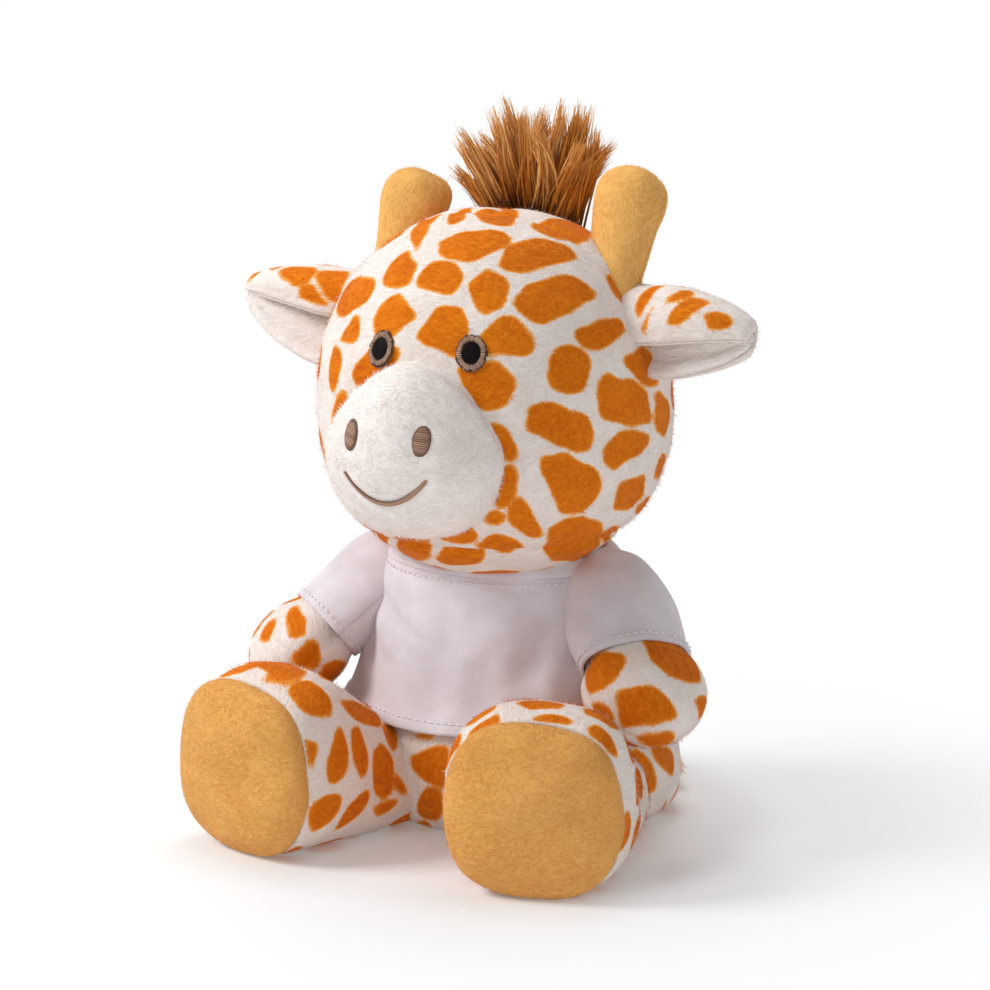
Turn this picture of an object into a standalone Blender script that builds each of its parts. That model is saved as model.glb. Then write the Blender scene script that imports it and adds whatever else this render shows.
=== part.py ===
"""A seated plush giraffe in a T-shirt, piece by piece: covers, stuffing, embroidery, ears, horns, hair and clothes.

Sizes are in metres. The toy faces -Y, +Z is up and it sits on Z = 0. Its left side is +X.
Places are first worked out with the head over the origin, and one empty then centres the whole toy.
"""
import math

import bmesh
import bpy
from mathutils import Matrix, Vector

# Cloth and clearances
PLUSH_WALL = 0.0015
COTTON_WALL = 0.0010
THREAD_HEIGHT = 0.0008
SEAM_GAP = 0.0003
STUFFING_GAP = 0.0008
TURNING_GAP = 0.0006
FLOOR_CUT = 0.0005
CUT_OVERRUN = 0.010
SWEEP_STEP_DEG = 10
MERGE_DISTANCE = 0.00001

# Heights that the rest follow: the head sinks into the body's top
TORSO_HEIGHT = 0.0840
HEAD_SINK = 0.0155
SHOULDER_HEIGHT_SHARE = 0.798
SHIRT_TOP_SHARE = 0.8562
HEM_SHARE = 0.3565

# Head
HEAD_RADIUS = 0.0480
JAW_RADIUS = 0.0522
JAW_FULL_ANGLE_DEG = 128
HEAD_CENTRE_HEIGHT = TORSO_HEIGHT - HEAD_SINK + JAW_RADIUS
HEAD_HOLE_RADIUS = 0.0160
HEAD_SIDES = 28
HEAD_RINGS = 12

# Neck wad
NECK_RADIUS = 0.0130
NECK_DEPTH = 0.0160

# Body, a pear that leans forward towards the neck
SEAT_HALF_WIDTH = 0.0478
SEAT_HALF_DEPTH = 0.0412
SEAT_BACKSET = 0.0125
TORSO_LEAN = 0.0073
BEAN_BAG_HEIGHT = 0.0230
BODY_SIDES = 28
BODY_OUTLINE_SHARES = (
    (1.0, 0.0), (0.975, 0.35), (0.917, 0.56), (0.845, 0.67), (0.714, 0.745), (0.536, 0.805),
    (0.40, 0.87), (0.28, 0.97), (0.16, 1.0), (0.05, 0.945), (0.0, 0.82), (0.0, 0.0),
)

# T-shirt
SHIRT_EASE = 0.0008
HEM_HEIGHT = TORSO_HEIGHT * HEM_SHARE
HEM_FLARE = 0.0020
HEM_FOLD_DEPTH = 0.0011
HEM_FOLD_COUNT = 7
SHIRT_TOP_HEIGHT = TORSO_HEIGHT * SHIRT_TOP_SHARE
SHIRT_SIDES = 35
COLLAR_WIDTH = 0.0048
COLLAR_PROUD = 0.0008
SLEEVE_LENGTH = 0.0260
SLEEVE_RADIUS = 0.0160
SLEEVE_OUTLINE_SHARES = (
    (-0.40, 0.0), (-0.345, 0.45), (-0.20, 0.74), (0.0, 0.90), (0.31, 0.97), (0.64, 1.0), (1.0, 1.0),
)

# Arms, from the shoulder's centre towards the place where the end of the round hand rests
SHOULDER_OUT = 0.0327
SHOULDER_BACK = 0.0034
SHOULDER_HEIGHT = TORSO_HEIGHT * SHOULDER_HEIGHT_SHARE
SHOULDER_RADIUS = 0.0105
HAND_RADIUS = 0.0170
ARM_LENGTH = 0.0515
ARM_FLATNESS_SHARE = 0.74
HAND_RESTS_AT = Vector((0.0611, -0.0245, 0.0342))
ARM_FLAT_SIDE = Vector((0.557, -0.384, 0.734))
ARM_SIDES = 16
ARM_OUTLINE_SHARES = (
    (-0.18, 0.0), (-0.145, 0.48), (-0.08, 0.82), (0.0, 1.0), (0.155, 1.19), (0.32, 1.28), (0.49, 1.33),
)
HAND_OUTLINE_SHARES = ((0.60, 0.97), (0.72, 1.0), (0.84, 0.87), (0.93, 0.60), (0.985, 0.25), (1.0, 0.0))
ARM_LIFT_DEG = 60

# Legs, from the sole's seam back to the hip
FOOT_RADIUS = 0.0250
SOLE_RADIUS = 0.0228
SOLE_BULGE = 0.0070
THIGH_RADIUS = 0.0185
LEG_LENGTH = 0.0690
HIP_OUT = 0.0270
HIP_AHEAD = 0.0050
HIP_TO_SOLE = 0.0585
LEG_SPLAY_DEG = {"L": 14.5, "R": 17.0}
LEG_SIDES = 20
FOOT_OUTLINE_SHARES = ((0.06, 0.975), (0.16, 1.0), (0.275, 0.975), (0.39, 0.91))
THIGH_OUTLINE_SHARES = ((0.51, 1.18), (0.65, 1.16), (0.81, 1.12), (0.93, 0.88), (0.985, 0.48), (1.0, 0.0))
LEG_HEIGHT_SHARES = ((0.0, 1.0), (0.30, 1.0), (0.42, 0.93), (0.57, 0.80), (0.81, 0.66), (1.0, 0.66))
LEG_SAG_SHARES = ((0.0, 0.25), (0.20, 0.60), (0.45, 1.0), (1.0, 1.0))
LEG_SAG_POWER = 3.4
LEG_DROP_DEG = 35
LEG_HINGE_HEIGHT = 0.0030

# Muzzle
MUZZLE_HALF_WIDTH = 0.0245
MUZZLE_HALF_HEIGHT = 0.0235
MUZZLE_HALF_LENGTH = 0.0200
MUZZLE_FORWARD = 0.0460
MUZZLE_DROP = 0.0095
MUZZLE_SIDES = 20
MUZZLE_RINGS = 10

# Embroidery
EYE_OUT = 0.0128
EYE_RISE = 0.0172
EYE_HALF_WIDTH = 0.0040
EYE_HALF_HEIGHT = 0.0047
PUPIL_SHARE = 0.62
NOSTRIL_OUT = 0.0103
NOSTRIL_RISE = 0.0063
NOSTRIL_HALF_WIDTH = 0.0023
NOSTRIL_HALF_HEIGHT = 0.0039
SMILE_HALF_WIDTH = 0.0121
SMILE_LOW = 0.0110
SMILE_CURVE = 0.0075
SMILE_POINTS = 13
DISC_SIDES = 16

# Horns
HORN_OUT = 0.0335
HORN_BACK = 0.0056
HORN_RISE = 0.0324
HORN_POINTS_TO = Vector((-0.04, 0.49, 0.87))
HORN_LENGTH = {"L": 0.0296, "R": 0.0248}
HORN_RADIUS = 0.0094
HORN_FLATNESS_SHARE = 0.88
HORN_SIDES = 16
HORN_OUTLINE_SHARES = (
    (1.0, 0.0), (0.975, 0.42), (0.90, 0.76), (0.79, 0.96), (0.66, 1.0), (0.42, 0.94), (0.18, 0.88), (-0.45, 0.93),
)

# Hair
HAIR_BACK = 0.0200
HAIR_LENGTH = 0.0385
HAIR_ROOT_RADIUS = 0.0095
HAIR_LOCKS_ROUND = 16
HAIR_RINGS = 8
HAIR_TIP_SHARES = (1.0, 1.0, 0.90, 0.72)
HAIR_DIP_SHARE = 0.74

# Ears: the root lies in the head's side seam, and the upper edge curls forward over the lining
EAR_ROOT_LOW = Vector((0.0455, 0.0015, 0.0075))
EAR_ROOT_HIGH = Vector((0.0375, 0.0080, 0.0295))
EAR_TIP = Vector((0.0768, 0.0013, 0.0205))
EAR_HALF_WIDTH = 0.0132
EAR_INSET = 0.0060
EAR_PLY = 0.0017
EAR_STEPS_ALONG = 7
EAR_STEPS_ACROSS = 8
EAR_CURL_SHARES = (
    (0.19, -1.02), (-0.19, -0.61), (-0.34, 0.0), (-0.27, 0.61), (0.0, 0.95), (0.38, 0.91), (0.68, 0.53), (0.80, 0.11),
)
EAR_WIDTH_SHARES = ((0.0, 0.84), (0.14, 0.88), (0.43, 1.0), (0.62, 0.94), (0.81, 0.78), (0.93, 0.50), (1.0, 0.22))
EAR_FLAP_DEG = 15

# Tail, curled round the seat to the toy's left
TAIL_RADIUS = 0.0030
TAIL_ROOT = Vector((0.0010, 0.0525, 0.0150))
TAIL_BEND = Vector((0.0075, 0.0563, 0.0115))
TAIL_SIDE = Vector((0.0160, 0.0562, 0.0085))
TAIL_END = Vector((0.0240, 0.0528, 0.0068))
TUFT_RADIUS = 0.0040
TUFT_START = Vector((0.0268, 0.0516, 0.0064))
TUFT_END = Vector((0.0455, 0.0318, 0.0048))
TAIL_SWING_DEG = 60

PARTS = bpy.data.collections.new("plush_giraffe")
CUTTERS = bpy.data.collections.new("cutters")
HEAD_CENTRE = Vector((0.0, 0.0, HEAD_CENTRE_HEIGHT))
MUZZLE_CENTRE = HEAD_CENTRE + Vector((0.0, -MUZZLE_FORWARD, -MUZZLE_DROP))
SIDES = {"L": 1.0, "R": -1.0}


def clear_scene():
    """Starts from an empty scene that holds the two collections."""
    for obj in list(bpy.data.objects):
        bpy.data.objects.remove(obj, do_unlink=True)
    for collection in (PARTS, CUTTERS):
        bpy.context.scene.collection.children.link(collection)
    CUTTERS.hide_render = True


# Materials

def material(name, colour, roughness=0.9, metallic=0.0):
    made = bpy.data.materials.new(name)
    made.use_nodes = True
    shader = made.node_tree.nodes["Principled BSDF"]
    shader.inputs["Base Color"].default_value = (*colour, 1.0)
    shader.inputs["Roughness"].default_value = roughness
    shader.inputs["Metallic"].default_value = metallic
    return made


def materials():
    return {
        "printed_plush": material("printed_plush", (0.80, 0.38, 0.10)),
        "white_plush": material("white_plush", (0.86, 0.80, 0.76)),
        "tan_plush": material("tan_plush", (0.74, 0.41, 0.13)),
        "brown_pile": material("brown_pile", (0.27, 0.09, 0.02)),
        "pale_pile": material("pale_pile", (0.72, 0.40, 0.20)),
        "cotton": material("cotton", (0.72, 0.70, 0.74)),
        "brown_thread": material("brown_thread", (0.22, 0.12, 0.07), roughness=0.6),
        "black_thread": material("black_thread", (0.01, 0.01, 0.01), roughness=0.5),
        "fibre": material("fibre", (0.85, 0.85, 0.85)),
        "bean_cloth": material("bean_cloth", (0.75, 0.74, 0.70)),
    }


# Mesh helpers

def applied(obj):
    """The object's mesh with its modifiers applied; the object itself is removed."""
    bpy.context.view_layer.update()
    mesh = bpy.data.meshes.new_from_object(obj.evaluated_get(bpy.context.evaluated_depsgraph_get()))
    mesh.transform(obj.matrix_world)
    bpy.data.objects.remove(obj, do_unlink=True)
    return mesh


def evaluated(obj):
    """The same, with its close points merged and its faces turned outwards."""
    return welded(applied(obj))


def welded(mesh):
    body = bmesh.new()
    body.from_mesh(mesh)
    bmesh.ops.remove_doubles(body, verts=body.verts, dist=MERGE_DISTANCE)
    loose = [edge for edge in body.edges if not edge.link_faces]
    bmesh.ops.delete(body, geom=loose, context="EDGES")
    bmesh.ops.recalc_face_normals(body, faces=body.faces)
    body.to_mesh(mesh)
    body.free()
    return mesh


def object_in(collection, name, mesh):
    obj = bpy.data.objects.new(name, mesh)
    collection.objects.link(obj)
    return obj


def cutter(name, mesh):
    obj = object_in(CUTTERS, name, mesh)
    obj.hide_render = True
    obj.display_type = "WIRE"
    return obj


def turned(name, profile, sides):
    """The surface that a line of (radius, height) points makes when it turns about Z."""
    mesh = bpy.data.meshes.new(name)
    edges = [(i, i + 1) for i in range(len(profile) - 1)]
    mesh.from_pydata([(r, 0.0, z) for r, z in profile], edges, [])
    obj = object_in(CUTTERS, name, mesh)
    screw = obj.modifiers.new("Turn", "SCREW")
    screw.steps = screw.render_steps = sides
    screw.use_merge_vertices = True
    screw.merge_threshold = MERGE_DISTANCE
    return evaluated(obj)


def grown(profile, amount):
    """The profile moved outwards by an amount, along the mean direction of its neighbouring lines."""
    moved = []
    for i, (r, z) in enumerate(profile):
        across = Vector((0.0, 0.0))
        for a, b in ((i - 1, i), (i, i + 1)):
            if a >= 0 and b < len(profile):
                line = Vector(profile[b]) - Vector(profile[a])
                if line.length > 0.0:
                    across += Vector((-line.y, line.x)).normalized()
        across = across.normalized() * amount
        moved.append((0.0 if r == 0.0 else max(r + across.x, 0.0), z + across.y))
    return moved


def shell_profile(profile, wall):
    """Down the outside and back up the inside, and closed by a rim where it starts away from the axis."""
    loop = list(profile) + list(reversed(grown(profile, -wall)))
    return loop if profile[0][0] == 0.0 else loop + [loop[0]]


def tube_profile(profile, wall):
    """The wall of an upright tube of cloth, closed on itself, with level rims."""
    inside = [(r - wall, z) for r, z in profile]
    return [*profile, *reversed(inside), profile[0]]


def moved_mesh(mesh, place):
    """Applies a function to every point of a mesh."""
    for vertex in mesh.vertices:
        vertex.co = place(vertex.co)
    return welded(mesh)


def pointing(origin, direction):
    """The matrix that takes +Z to a direction and the origin to a point."""
    return Matrix.Translation(origin) @ direction.to_track_quat("Z", "Y").to_matrix().to_4x4()


def with_matrix(mesh, matrix):
    mesh.transform(matrix)
    return welded(mesh)


def box_mesh(name, low, high):
    body = bmesh.new()
    bmesh.ops.create_cube(body, size=1.0)
    mesh = bpy.data.meshes.new(name)
    body.to_mesh(mesh)
    body.free()
    middle = (low + high) / 2
    sizes = high - low
    mesh.transform(Matrix.Translation(middle) @ Matrix.Diagonal((*sizes, 1.0)))
    return mesh


def cylinder_mesh(name, radius, length, sides):
    body = bmesh.new()
    bmesh.ops.create_cone(body, cap_ends=True, segments=sides, radius1=radius, radius2=radius, depth=length)
    mesh = bpy.data.meshes.new(name)
    body.to_mesh(mesh)
    body.free()
    return mesh


def ellipsoid_mesh(name, centre, half_sizes, sides, rings):
    body = bmesh.new()
    bmesh.ops.create_uvsphere(body, u_segments=sides, v_segments=rings, radius=1.0)
    mesh = bpy.data.meshes.new(name)
    body.to_mesh(mesh)
    body.free()
    mesh.transform(Matrix.Translation(centre) @ Matrix.Diagonal((*half_sizes, 1.0)))
    return mesh


def cut(obj, tool, operation="DIFFERENCE"):
    boolean = obj.modifiers.new("Cut by " + tool.name, "BOOLEAN")
    boolean.operation = operation
    boolean.object = tool
    boolean.solver = "MANIFOLD"
    return obj


def steps_to(angle_deg):
    """Angles from rest to a joint's end, close enough together for a swept cutter."""
    count = math.ceil(angle_deg / SWEEP_STEP_DEG)
    return [angle_deg * k / count for k in range(count + 1)]


def swept(name, tool, point, axis, angles_deg):
    """One cutter: all the room that a fixed tool takes, seen from a piece that turns about an axis."""
    copies = []
    for angle in angles_deg:
        turn = Matrix.Rotation(math.radians(-angle), 4, axis)
        mesh = tool.data.copy()
        mesh.transform(Matrix.Translation(point) @ turn @ Matrix.Translation(-point))
        copies.append(("UNION", cutter(f"{name}_at_{angle:.0f}", mesh)))
    return joined(name, copies)


def finished(name, mesh, look, pivot, tools=()):
    """A named piece: its origin on its pivot's point, cut by each tool."""
    mesh.transform(Matrix.Translation(-pivot.location))
    obj = object_in(PARTS, name, mesh)
    obj.parent = pivot
    mesh.materials.append(look)
    for tool in tools:
        cut(obj, tool)
    mesh.shade_smooth()
    mesh.set_sharp_from_angle(angle=math.radians(50))
    return obj


def mirrored(vector, side):
    return Vector((SIDES[side] * vector.x, vector.y, vector.z))


def between(stations, at):
    """The value at a place along a list of (place, value) stations, joined by straight lines."""
    for (a, va), (b, vb) in zip(stations, stations[1:]):
        if a <= at <= b:
            return va + (vb - va) * (at - a) / (b - a)
    return stations[0][1] if at < stations[0][0] else stations[-1][1]


# Outlines

def head_outline(grow, hole_angle=0.0):
    """From the crown down: round above, and fuller below its middle, where it rests in the collar."""
    end = math.pi - hole_angle
    steps = [math.pi * k / HEAD_RINGS for k in range(HEAD_RINGS)]
    points = []
    for angle in [step for step in steps if step < end] + [end]:
        share = (angle - math.pi / 2) / (math.radians(JAW_FULL_ANGLE_DEG) - math.pi / 2)
        reach = HEAD_RADIUS + (JAW_RADIUS - HEAD_RADIUS) * min(1.0, max(0.0, share)) + grow
        on_axis = angle in (0.0, math.pi)
        points.append((0.0 if on_axis else reach * math.sin(angle), reach * math.cos(angle)))
    return points


def body_outline():
    points = [(r * SEAT_HALF_WIDTH, z * (TORSO_HEIGHT + FLOOR_CUT) - FLOOR_CUT) for z, r in BODY_OUTLINE_SHARES]
    return points


def arm_outline():
    upper = [(r * SHOULDER_RADIUS, s * ARM_LENGTH) for s, r in ARM_OUTLINE_SHARES]
    hand = [(r * HAND_RADIUS, s * ARM_LENGTH) for s, r in HAND_OUTLINE_SHARES]
    return list(reversed(upper + hand))


def sleeve_outline():
    return list(reversed([(r * SLEEVE_RADIUS, s * SLEEVE_LENGTH) for s, r in SLEEVE_OUTLINE_SHARES]))


def leg_outline():
    """From the hip's end to the sole's seam, with heights measured back from the seam."""
    foot = [(r * FOOT_RADIUS, s * LEG_LENGTH) for s, r in FOOT_OUTLINE_SHARES]
    thigh = [(r * THIGH_RADIUS, s * LEG_LENGTH) for s, r in THIGH_OUTLINE_SHARES]
    return list(reversed([(SOLE_RADIUS, 0.0)] + foot + thigh))


def sole_outline(extra=0.0):
    """The sole's dome, from its seam to its middle, which bulges forward of the seam."""
    steps = 6
    points = []
    for k in range(steps + 1):
        angle = math.pi / 2 * k / steps
        radius = 0.0 if k == steps else (SOLE_RADIUS + extra) * math.cos(angle)
        points.append((radius, -SEAM_GAP - (SOLE_BULGE + extra) * math.sin(angle)))
    return points


# Body and neck

def torso_place(point):
    """Makes the turned torso oval, sets it back and leans it forward as it rises."""
    back = SEAT_BACKSET - TORSO_LEAN * point.z / TORSO_HEIGHT
    return Vector((point.x, point.y * SEAT_HALF_DEPTH / SEAT_HALF_WIDTH + back, point.z))


def torso_mesh(name, profile):
    return moved_mesh(turned(name, profile, BODY_SIDES), torso_place)


def head_solid(name, grow):
    """The filled head, larger by an amount, as a cutter for what is sewn to it."""
    return with_matrix(turned(name, head_outline(grow), HEAD_SIDES), Matrix.Translation(HEAD_CENTRE))


def head_seat(name):
    """The ball in which the head turns and nods: it cuts what the head rests in."""
    radius = JAW_RADIUS + TURNING_GAP
    return ellipsoid_mesh(name, HEAD_CENTRE, Vector((radius, radius, radius)), HEAD_SIDES, HEAD_RINGS * 2)


def floor_box():
    reach = SEAT_HALF_WIDTH * 4
    low = Vector((-reach, -reach, -CUT_OVERRUN))
    return box_mesh("floor_box", low, Vector((reach, reach, 0.0)))


def wide_box(name, low_height, high_height):
    reach = SEAT_HALF_WIDTH * 2
    return box_mesh(name, Vector((-reach, -reach, low_height)), Vector((reach, reach, high_height)))


def make_body(looks, root, tools):
    cover = torso_mesh("body_cover", shell_profile(body_outline()[1:], PLUSH_WALL))
    finished("body_cover", cover, looks["printed_plush"], root, [tools["head"], tools["floor"]])
    inside = grown(body_outline(), -(PLUSH_WALL + STUFFING_GAP))
    below = cutter("below_beans", wide_box("below_beans", -CUT_OVERRUN, BEAN_BAG_HEIGHT + SEAM_GAP))
    above = cutter("above_beans", wide_box("above_beans", BEAN_BAG_HEIGHT, TORSO_HEIGHT + CUT_OVERRUN))
    stuffing = torso_mesh("body_stuffing", inside)
    finished("body_stuffing", stuffing, looks["fibre"], root, [below, tools["head"], tools["neck_bore"]])
    beans = torso_mesh("seat_bean_bag", inside)
    finished("seat_bean_bag", beans, looks["bean_cloth"], root, [above])


def neck_mesh(name, radius, bottom):
    top = HEAD_CENTRE_HEIGHT
    mesh = cylinder_mesh(name, radius, top - bottom, DISC_SIDES)
    mesh.transform(Matrix.Translation(Vector((0.0, 0.0, (top + bottom) / 2))))
    return mesh


def neck_bottom():
    return HEAD_CENTRE_HEIGHT - JAW_RADIUS - NECK_DEPTH


# Head

def make_head(looks, pivot):
    hole_angle = math.asin(HEAD_HOLE_RADIUS / JAW_RADIUS)
    profile = shell_profile(head_outline(0.0, hole_angle), PLUSH_WALL)
    cover = with_matrix(turned("head_cover", profile, HEAD_SIDES), Matrix.Translation(HEAD_CENTRE))
    finished("head_cover", cover, looks["printed_plush"], pivot)
    inner = head_outline(-(PLUSH_WALL + STUFFING_GAP))
    stuffing = with_matrix(turned("head_stuffing", inner, HEAD_SIDES), Matrix.Translation(HEAD_CENTRE))
    finished("head_stuffing", stuffing, looks["fibre"], pivot)


def muzzle_mesh(name, grow):
    half_sizes = Vector((MUZZLE_HALF_WIDTH + grow, MUZZLE_HALF_LENGTH + grow, MUZZLE_HALF_HEIGHT + grow))
    return ellipsoid_mesh(name, MUZZLE_CENTRE, half_sizes, MUZZLE_SIDES, MUZZLE_RINGS)


def make_muzzle(looks, pivot, tools):
    hollow = cutter("muzzle_hollow", muzzle_mesh("muzzle_hollow", -PLUSH_WALL))
    cover = muzzle_mesh("muzzle_cover", 0.0)
    finished("muzzle_cover", cover, looks["white_plush"], pivot, [tools["head_seam"], hollow])
    stuffing = muzzle_mesh("muzzle_stuffing", -(PLUSH_WALL + STUFFING_GAP))
    finished("muzzle_stuffing", stuffing, looks["fibre"], pivot, [tools["head_seam"]])


def muzzle_front(x, rise):
    """A point on the front of the muzzle, and the way out from it there."""
    across = (x / MUZZLE_HALF_WIDTH) ** 2 + (rise / MUZZLE_HALF_HEIGHT) ** 2
    depth = -MUZZLE_HALF_LENGTH * math.sqrt(1.0 - across)
    point = MUZZLE_CENTRE + Vector((x, depth, rise))
    out = Vector((x / MUZZLE_HALF_WIDTH**2, depth / MUZZLE_HALF_LENGTH**2, rise / MUZZLE_HALF_HEIGHT**2))
    return point, out.normalized()


def head_front(x, rise):
    """The same on the head."""
    depth = -math.sqrt(HEAD_RADIUS**2 - x**2 - rise**2)
    out = Vector((x, depth, rise))
    return HEAD_CENTRE + out, out.normalized()


def stitched_disc(name, half_width, half_height, height):
    """An oval pad of thread that lies on the plane Z = 0, with its tall side along Y."""
    mesh = cylinder_mesh(name, half_width, height, DISC_SIDES)
    mesh.transform(Matrix.Translation(Vector((0.0, 0.0, height / 2))))
    mesh.transform(Matrix.Diagonal((1.0, half_height / half_width, 1.0, 1.0)))
    return mesh


def on_surface(mesh, point, out):
    return with_matrix(mesh, pointing(point + out * SEAM_GAP, out))


def make_eyes(looks, pivot):
    for side, sign in SIDES.items():
        point, out = head_front(sign * EYE_OUT, EYE_RISE)
        hole = stitched_disc("eye_hole", EYE_HALF_WIDTH * PUPIL_SHARE, EYE_HALF_HEIGHT * PUPIL_SHARE, CUT_OVERRUN)
        hole.transform(Matrix.Translation(Vector((0.0, 0.0, -CUT_OVERRUN / 2))))
        hole_tool = cutter("eye_hole_" + side, on_surface(hole, point, out))
        ring = on_surface(stitched_disc("eye_ring", EYE_HALF_WIDTH, EYE_HALF_HEIGHT, THREAD_HEIGHT), point, out)
        finished("eye_ring_" + side, ring, looks["brown_thread"], pivot, [hole_tool])
        width = EYE_HALF_WIDTH * PUPIL_SHARE - SEAM_GAP
        height = EYE_HALF_HEIGHT * PUPIL_SHARE - SEAM_GAP
        pupil = on_surface(stitched_disc("pupil", width, height, THREAD_HEIGHT), point, out)
        finished("pupil_" + side, pupil, looks["black_thread"], pivot)


def make_nose_and_smile(looks, pivot):
    for side, sign in SIDES.items():
        point, out = muzzle_front(sign * NOSTRIL_OUT, NOSTRIL_RISE)
        pad = on_surface(stitched_disc("nostril", NOSTRIL_HALF_WIDTH, NOSTRIL_HALF_HEIGHT, THREAD_HEIGHT), point, out)
        finished("nostril_" + side, pad, looks["brown_thread"], pivot)
    thread = THREAD_HEIGHT / 2
    points = []
    for k in range(SMILE_POINTS):
        share = 2.0 * k / (SMILE_POINTS - 1) - 1.0
        point, out = muzzle_front(share * SMILE_HALF_WIDTH, SMILE_CURVE * share**2 - SMILE_LOW)
        points.append(point + out * (thread + SEAM_GAP))
    finished("smile", tube_mesh("smile", points, thread), looks["brown_thread"], pivot)


def tube_mesh(name, points, radius, end_radius_share=1.0):
    """A tube along points, as a closed mesh."""
    curve = bpy.data.curves.new(name, "CURVE")
    curve.dimensions = "3D"
    curve.bevel_depth = radius
    curve.bevel_resolution = 1
    curve.use_fill_caps = True
    spline = curve.splines.new("POLY")
    spline.points.add(len(points) - 1)
    for place, point, share in zip(spline.points, points, tube_taper(len(points), end_radius_share)):
        place.co = (*point, 1.0)
        place.radius = share
    return evaluated(object_in(CUTTERS, name, curve))


def tube_taper(count, end_share):
    return [1.0 + (end_share - 1.0) * k / (count - 1) for k in range(count)]


def horn_shape(side):
    """A horn's outline, and the matrix that stands it on the head."""
    profile = [(r * HORN_RADIUS, z * HORN_LENGTH[side]) for z, r in HORN_OUTLINE_SHARES]
    root = HEAD_CENTRE + mirrored(Vector((HORN_OUT, HORN_BACK, HORN_RISE)), side)
    flat = Matrix.Diagonal((1.0, HORN_FLATNESS_SHARE, 1.0, 1.0))
    return profile, pointing(root, mirrored(HORN_POINTS_TO, side)) @ flat


def horn_solid(side, grow):
    profile, place = horn_shape(side)
    return with_matrix(turned("horn_space", grown(profile, grow) + [(0.0, profile[-1][1])], HORN_SIDES), place)


def make_horns(looks, pivot, tools):
    for side in SIDES:
        profile, place = horn_shape(side)
        cover = with_matrix(turned("horn", shell_profile(profile, PLUSH_WALL), HORN_SIDES), place)
        finished("horn_cover_" + side, cover, looks["tan_plush"], pivot, [tools["head_seam"]])
        inner = grown(profile, -(PLUSH_WALL + STUFFING_GAP)) + [(0.0, profile[-1][1])]
        stuffing = with_matrix(turned("horn_fill", inner, HORN_SIDES - 6), place)
        finished("horn_stuffing_" + side, stuffing, looks["fibre"], pivot, [tools["head_seam"]])


def make_hair(looks, pivot, tools):
    """A fan of locks: points of a ball pushed out, every other one less far."""
    root = HEAD_CENTRE + Vector((0.0, HAIR_BACK, math.sqrt(HEAD_RADIUS**2 - HAIR_BACK**2) - HAIR_ROOT_RADIUS / 2))
    body = bmesh.new()
    bmesh.ops.create_uvsphere(body, u_segments=HAIR_LOCKS_ROUND, v_segments=HAIR_RINGS, radius=1.0)
    for vertex in body.verts:
        ring = round(math.acos(max(-1.0, min(1.0, vertex.co.z))) / math.pi * HAIR_RINGS)
        turn = round(math.atan2(vertex.co.y, vertex.co.x) / math.tau * HAIR_LOCKS_ROUND)
        reach = HAIR_ROOT_RADIUS
        if ring < len(HAIR_TIP_SHARES):
            dip = 1.0 if (ring + turn) % 2 == 0 or ring == 0 else HAIR_DIP_SHARE
            reach = HAIR_LENGTH * HAIR_TIP_SHARES[ring] * dip
        vertex.co = vertex.co * reach
    bmesh.ops.triangulate(body, faces=body.faces)
    mesh = bpy.data.meshes.new("hair_tuft")
    body.to_mesh(mesh)
    body.free()
    mesh.transform(Matrix.Translation(root))
    finished("hair_tuft", mesh, looks["brown_pile"], pivot, [tools["head_seam"]])


# Ears

def ear_frame():
    """The ear's root, and its directions along, forward and up, for the toy's left ear."""
    root = (EAR_ROOT_LOW + EAR_ROOT_HIGH) / 2
    along = (EAR_TIP - root).normalized()
    up = EAR_ROOT_HIGH - EAR_ROOT_LOW
    up = (up - along * up.dot(along)).normalized()
    return root, along, along.cross(up), up


def ear_sheet(name):
    """One ply of the left ear as an open sheet about the head's centre."""
    root, along, forward, up = ear_frame()
    length = (EAR_TIP - root).length
    body = bmesh.new()
    bmesh.ops.create_grid(body, x_segments=EAR_STEPS_ALONG, y_segments=EAR_STEPS_ACROSS - 1, size=1.0)
    curl = [(k / (len(EAR_CURL_SHARES) - 1), Vector(p)) for k, p in enumerate(EAR_CURL_SHARES)]
    for vertex in body.verts:
        u, v = (vertex.co.x + 1) / 2, (vertex.co.y + 1) / 2
        section = between(curl, v) * EAR_HALF_WIDTH * between(EAR_WIDTH_SHARES, u)
        vertex.co = root + along * (u * (length + EAR_INSET) - EAR_INSET) + forward * section.x + up * section.y
    mesh = bpy.data.meshes.new(name)
    body.to_mesh(mesh)
    body.free()
    return mesh


def ear_ply(name, side, outwards):
    """A ply with its thickness: the printed back outwards, the lining inwards."""
    mesh = ear_sheet(name)
    obj = object_in(CUTTERS, name, mesh)
    body = bmesh.new()
    body.from_mesh(mesh)
    body.normal_update()
    facing = sum((face.normal * face.calc_area() for face in body.faces), Vector())
    sign = 1.0 if facing.dot(-ear_frame()[2]) > 0.0 else -1.0
    shift = sign * outwards * SEAM_GAP / 2
    for vertex, normal in [(v, v.normal.copy()) for v in body.verts]:
        vertex.co += normal * shift
    body.to_mesh(mesh)
    body.free()
    solid = obj.modifiers.new("Ply", "SOLIDIFY")
    solid.thickness = EAR_PLY
    solid.offset = sign * outwards
    made = evaluated(obj)
    made.transform(Matrix.Translation(HEAD_CENTRE) @ Matrix.Diagonal((SIDES[side], 1.0, 1.0, 1.0)))
    return welded(made)


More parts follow.
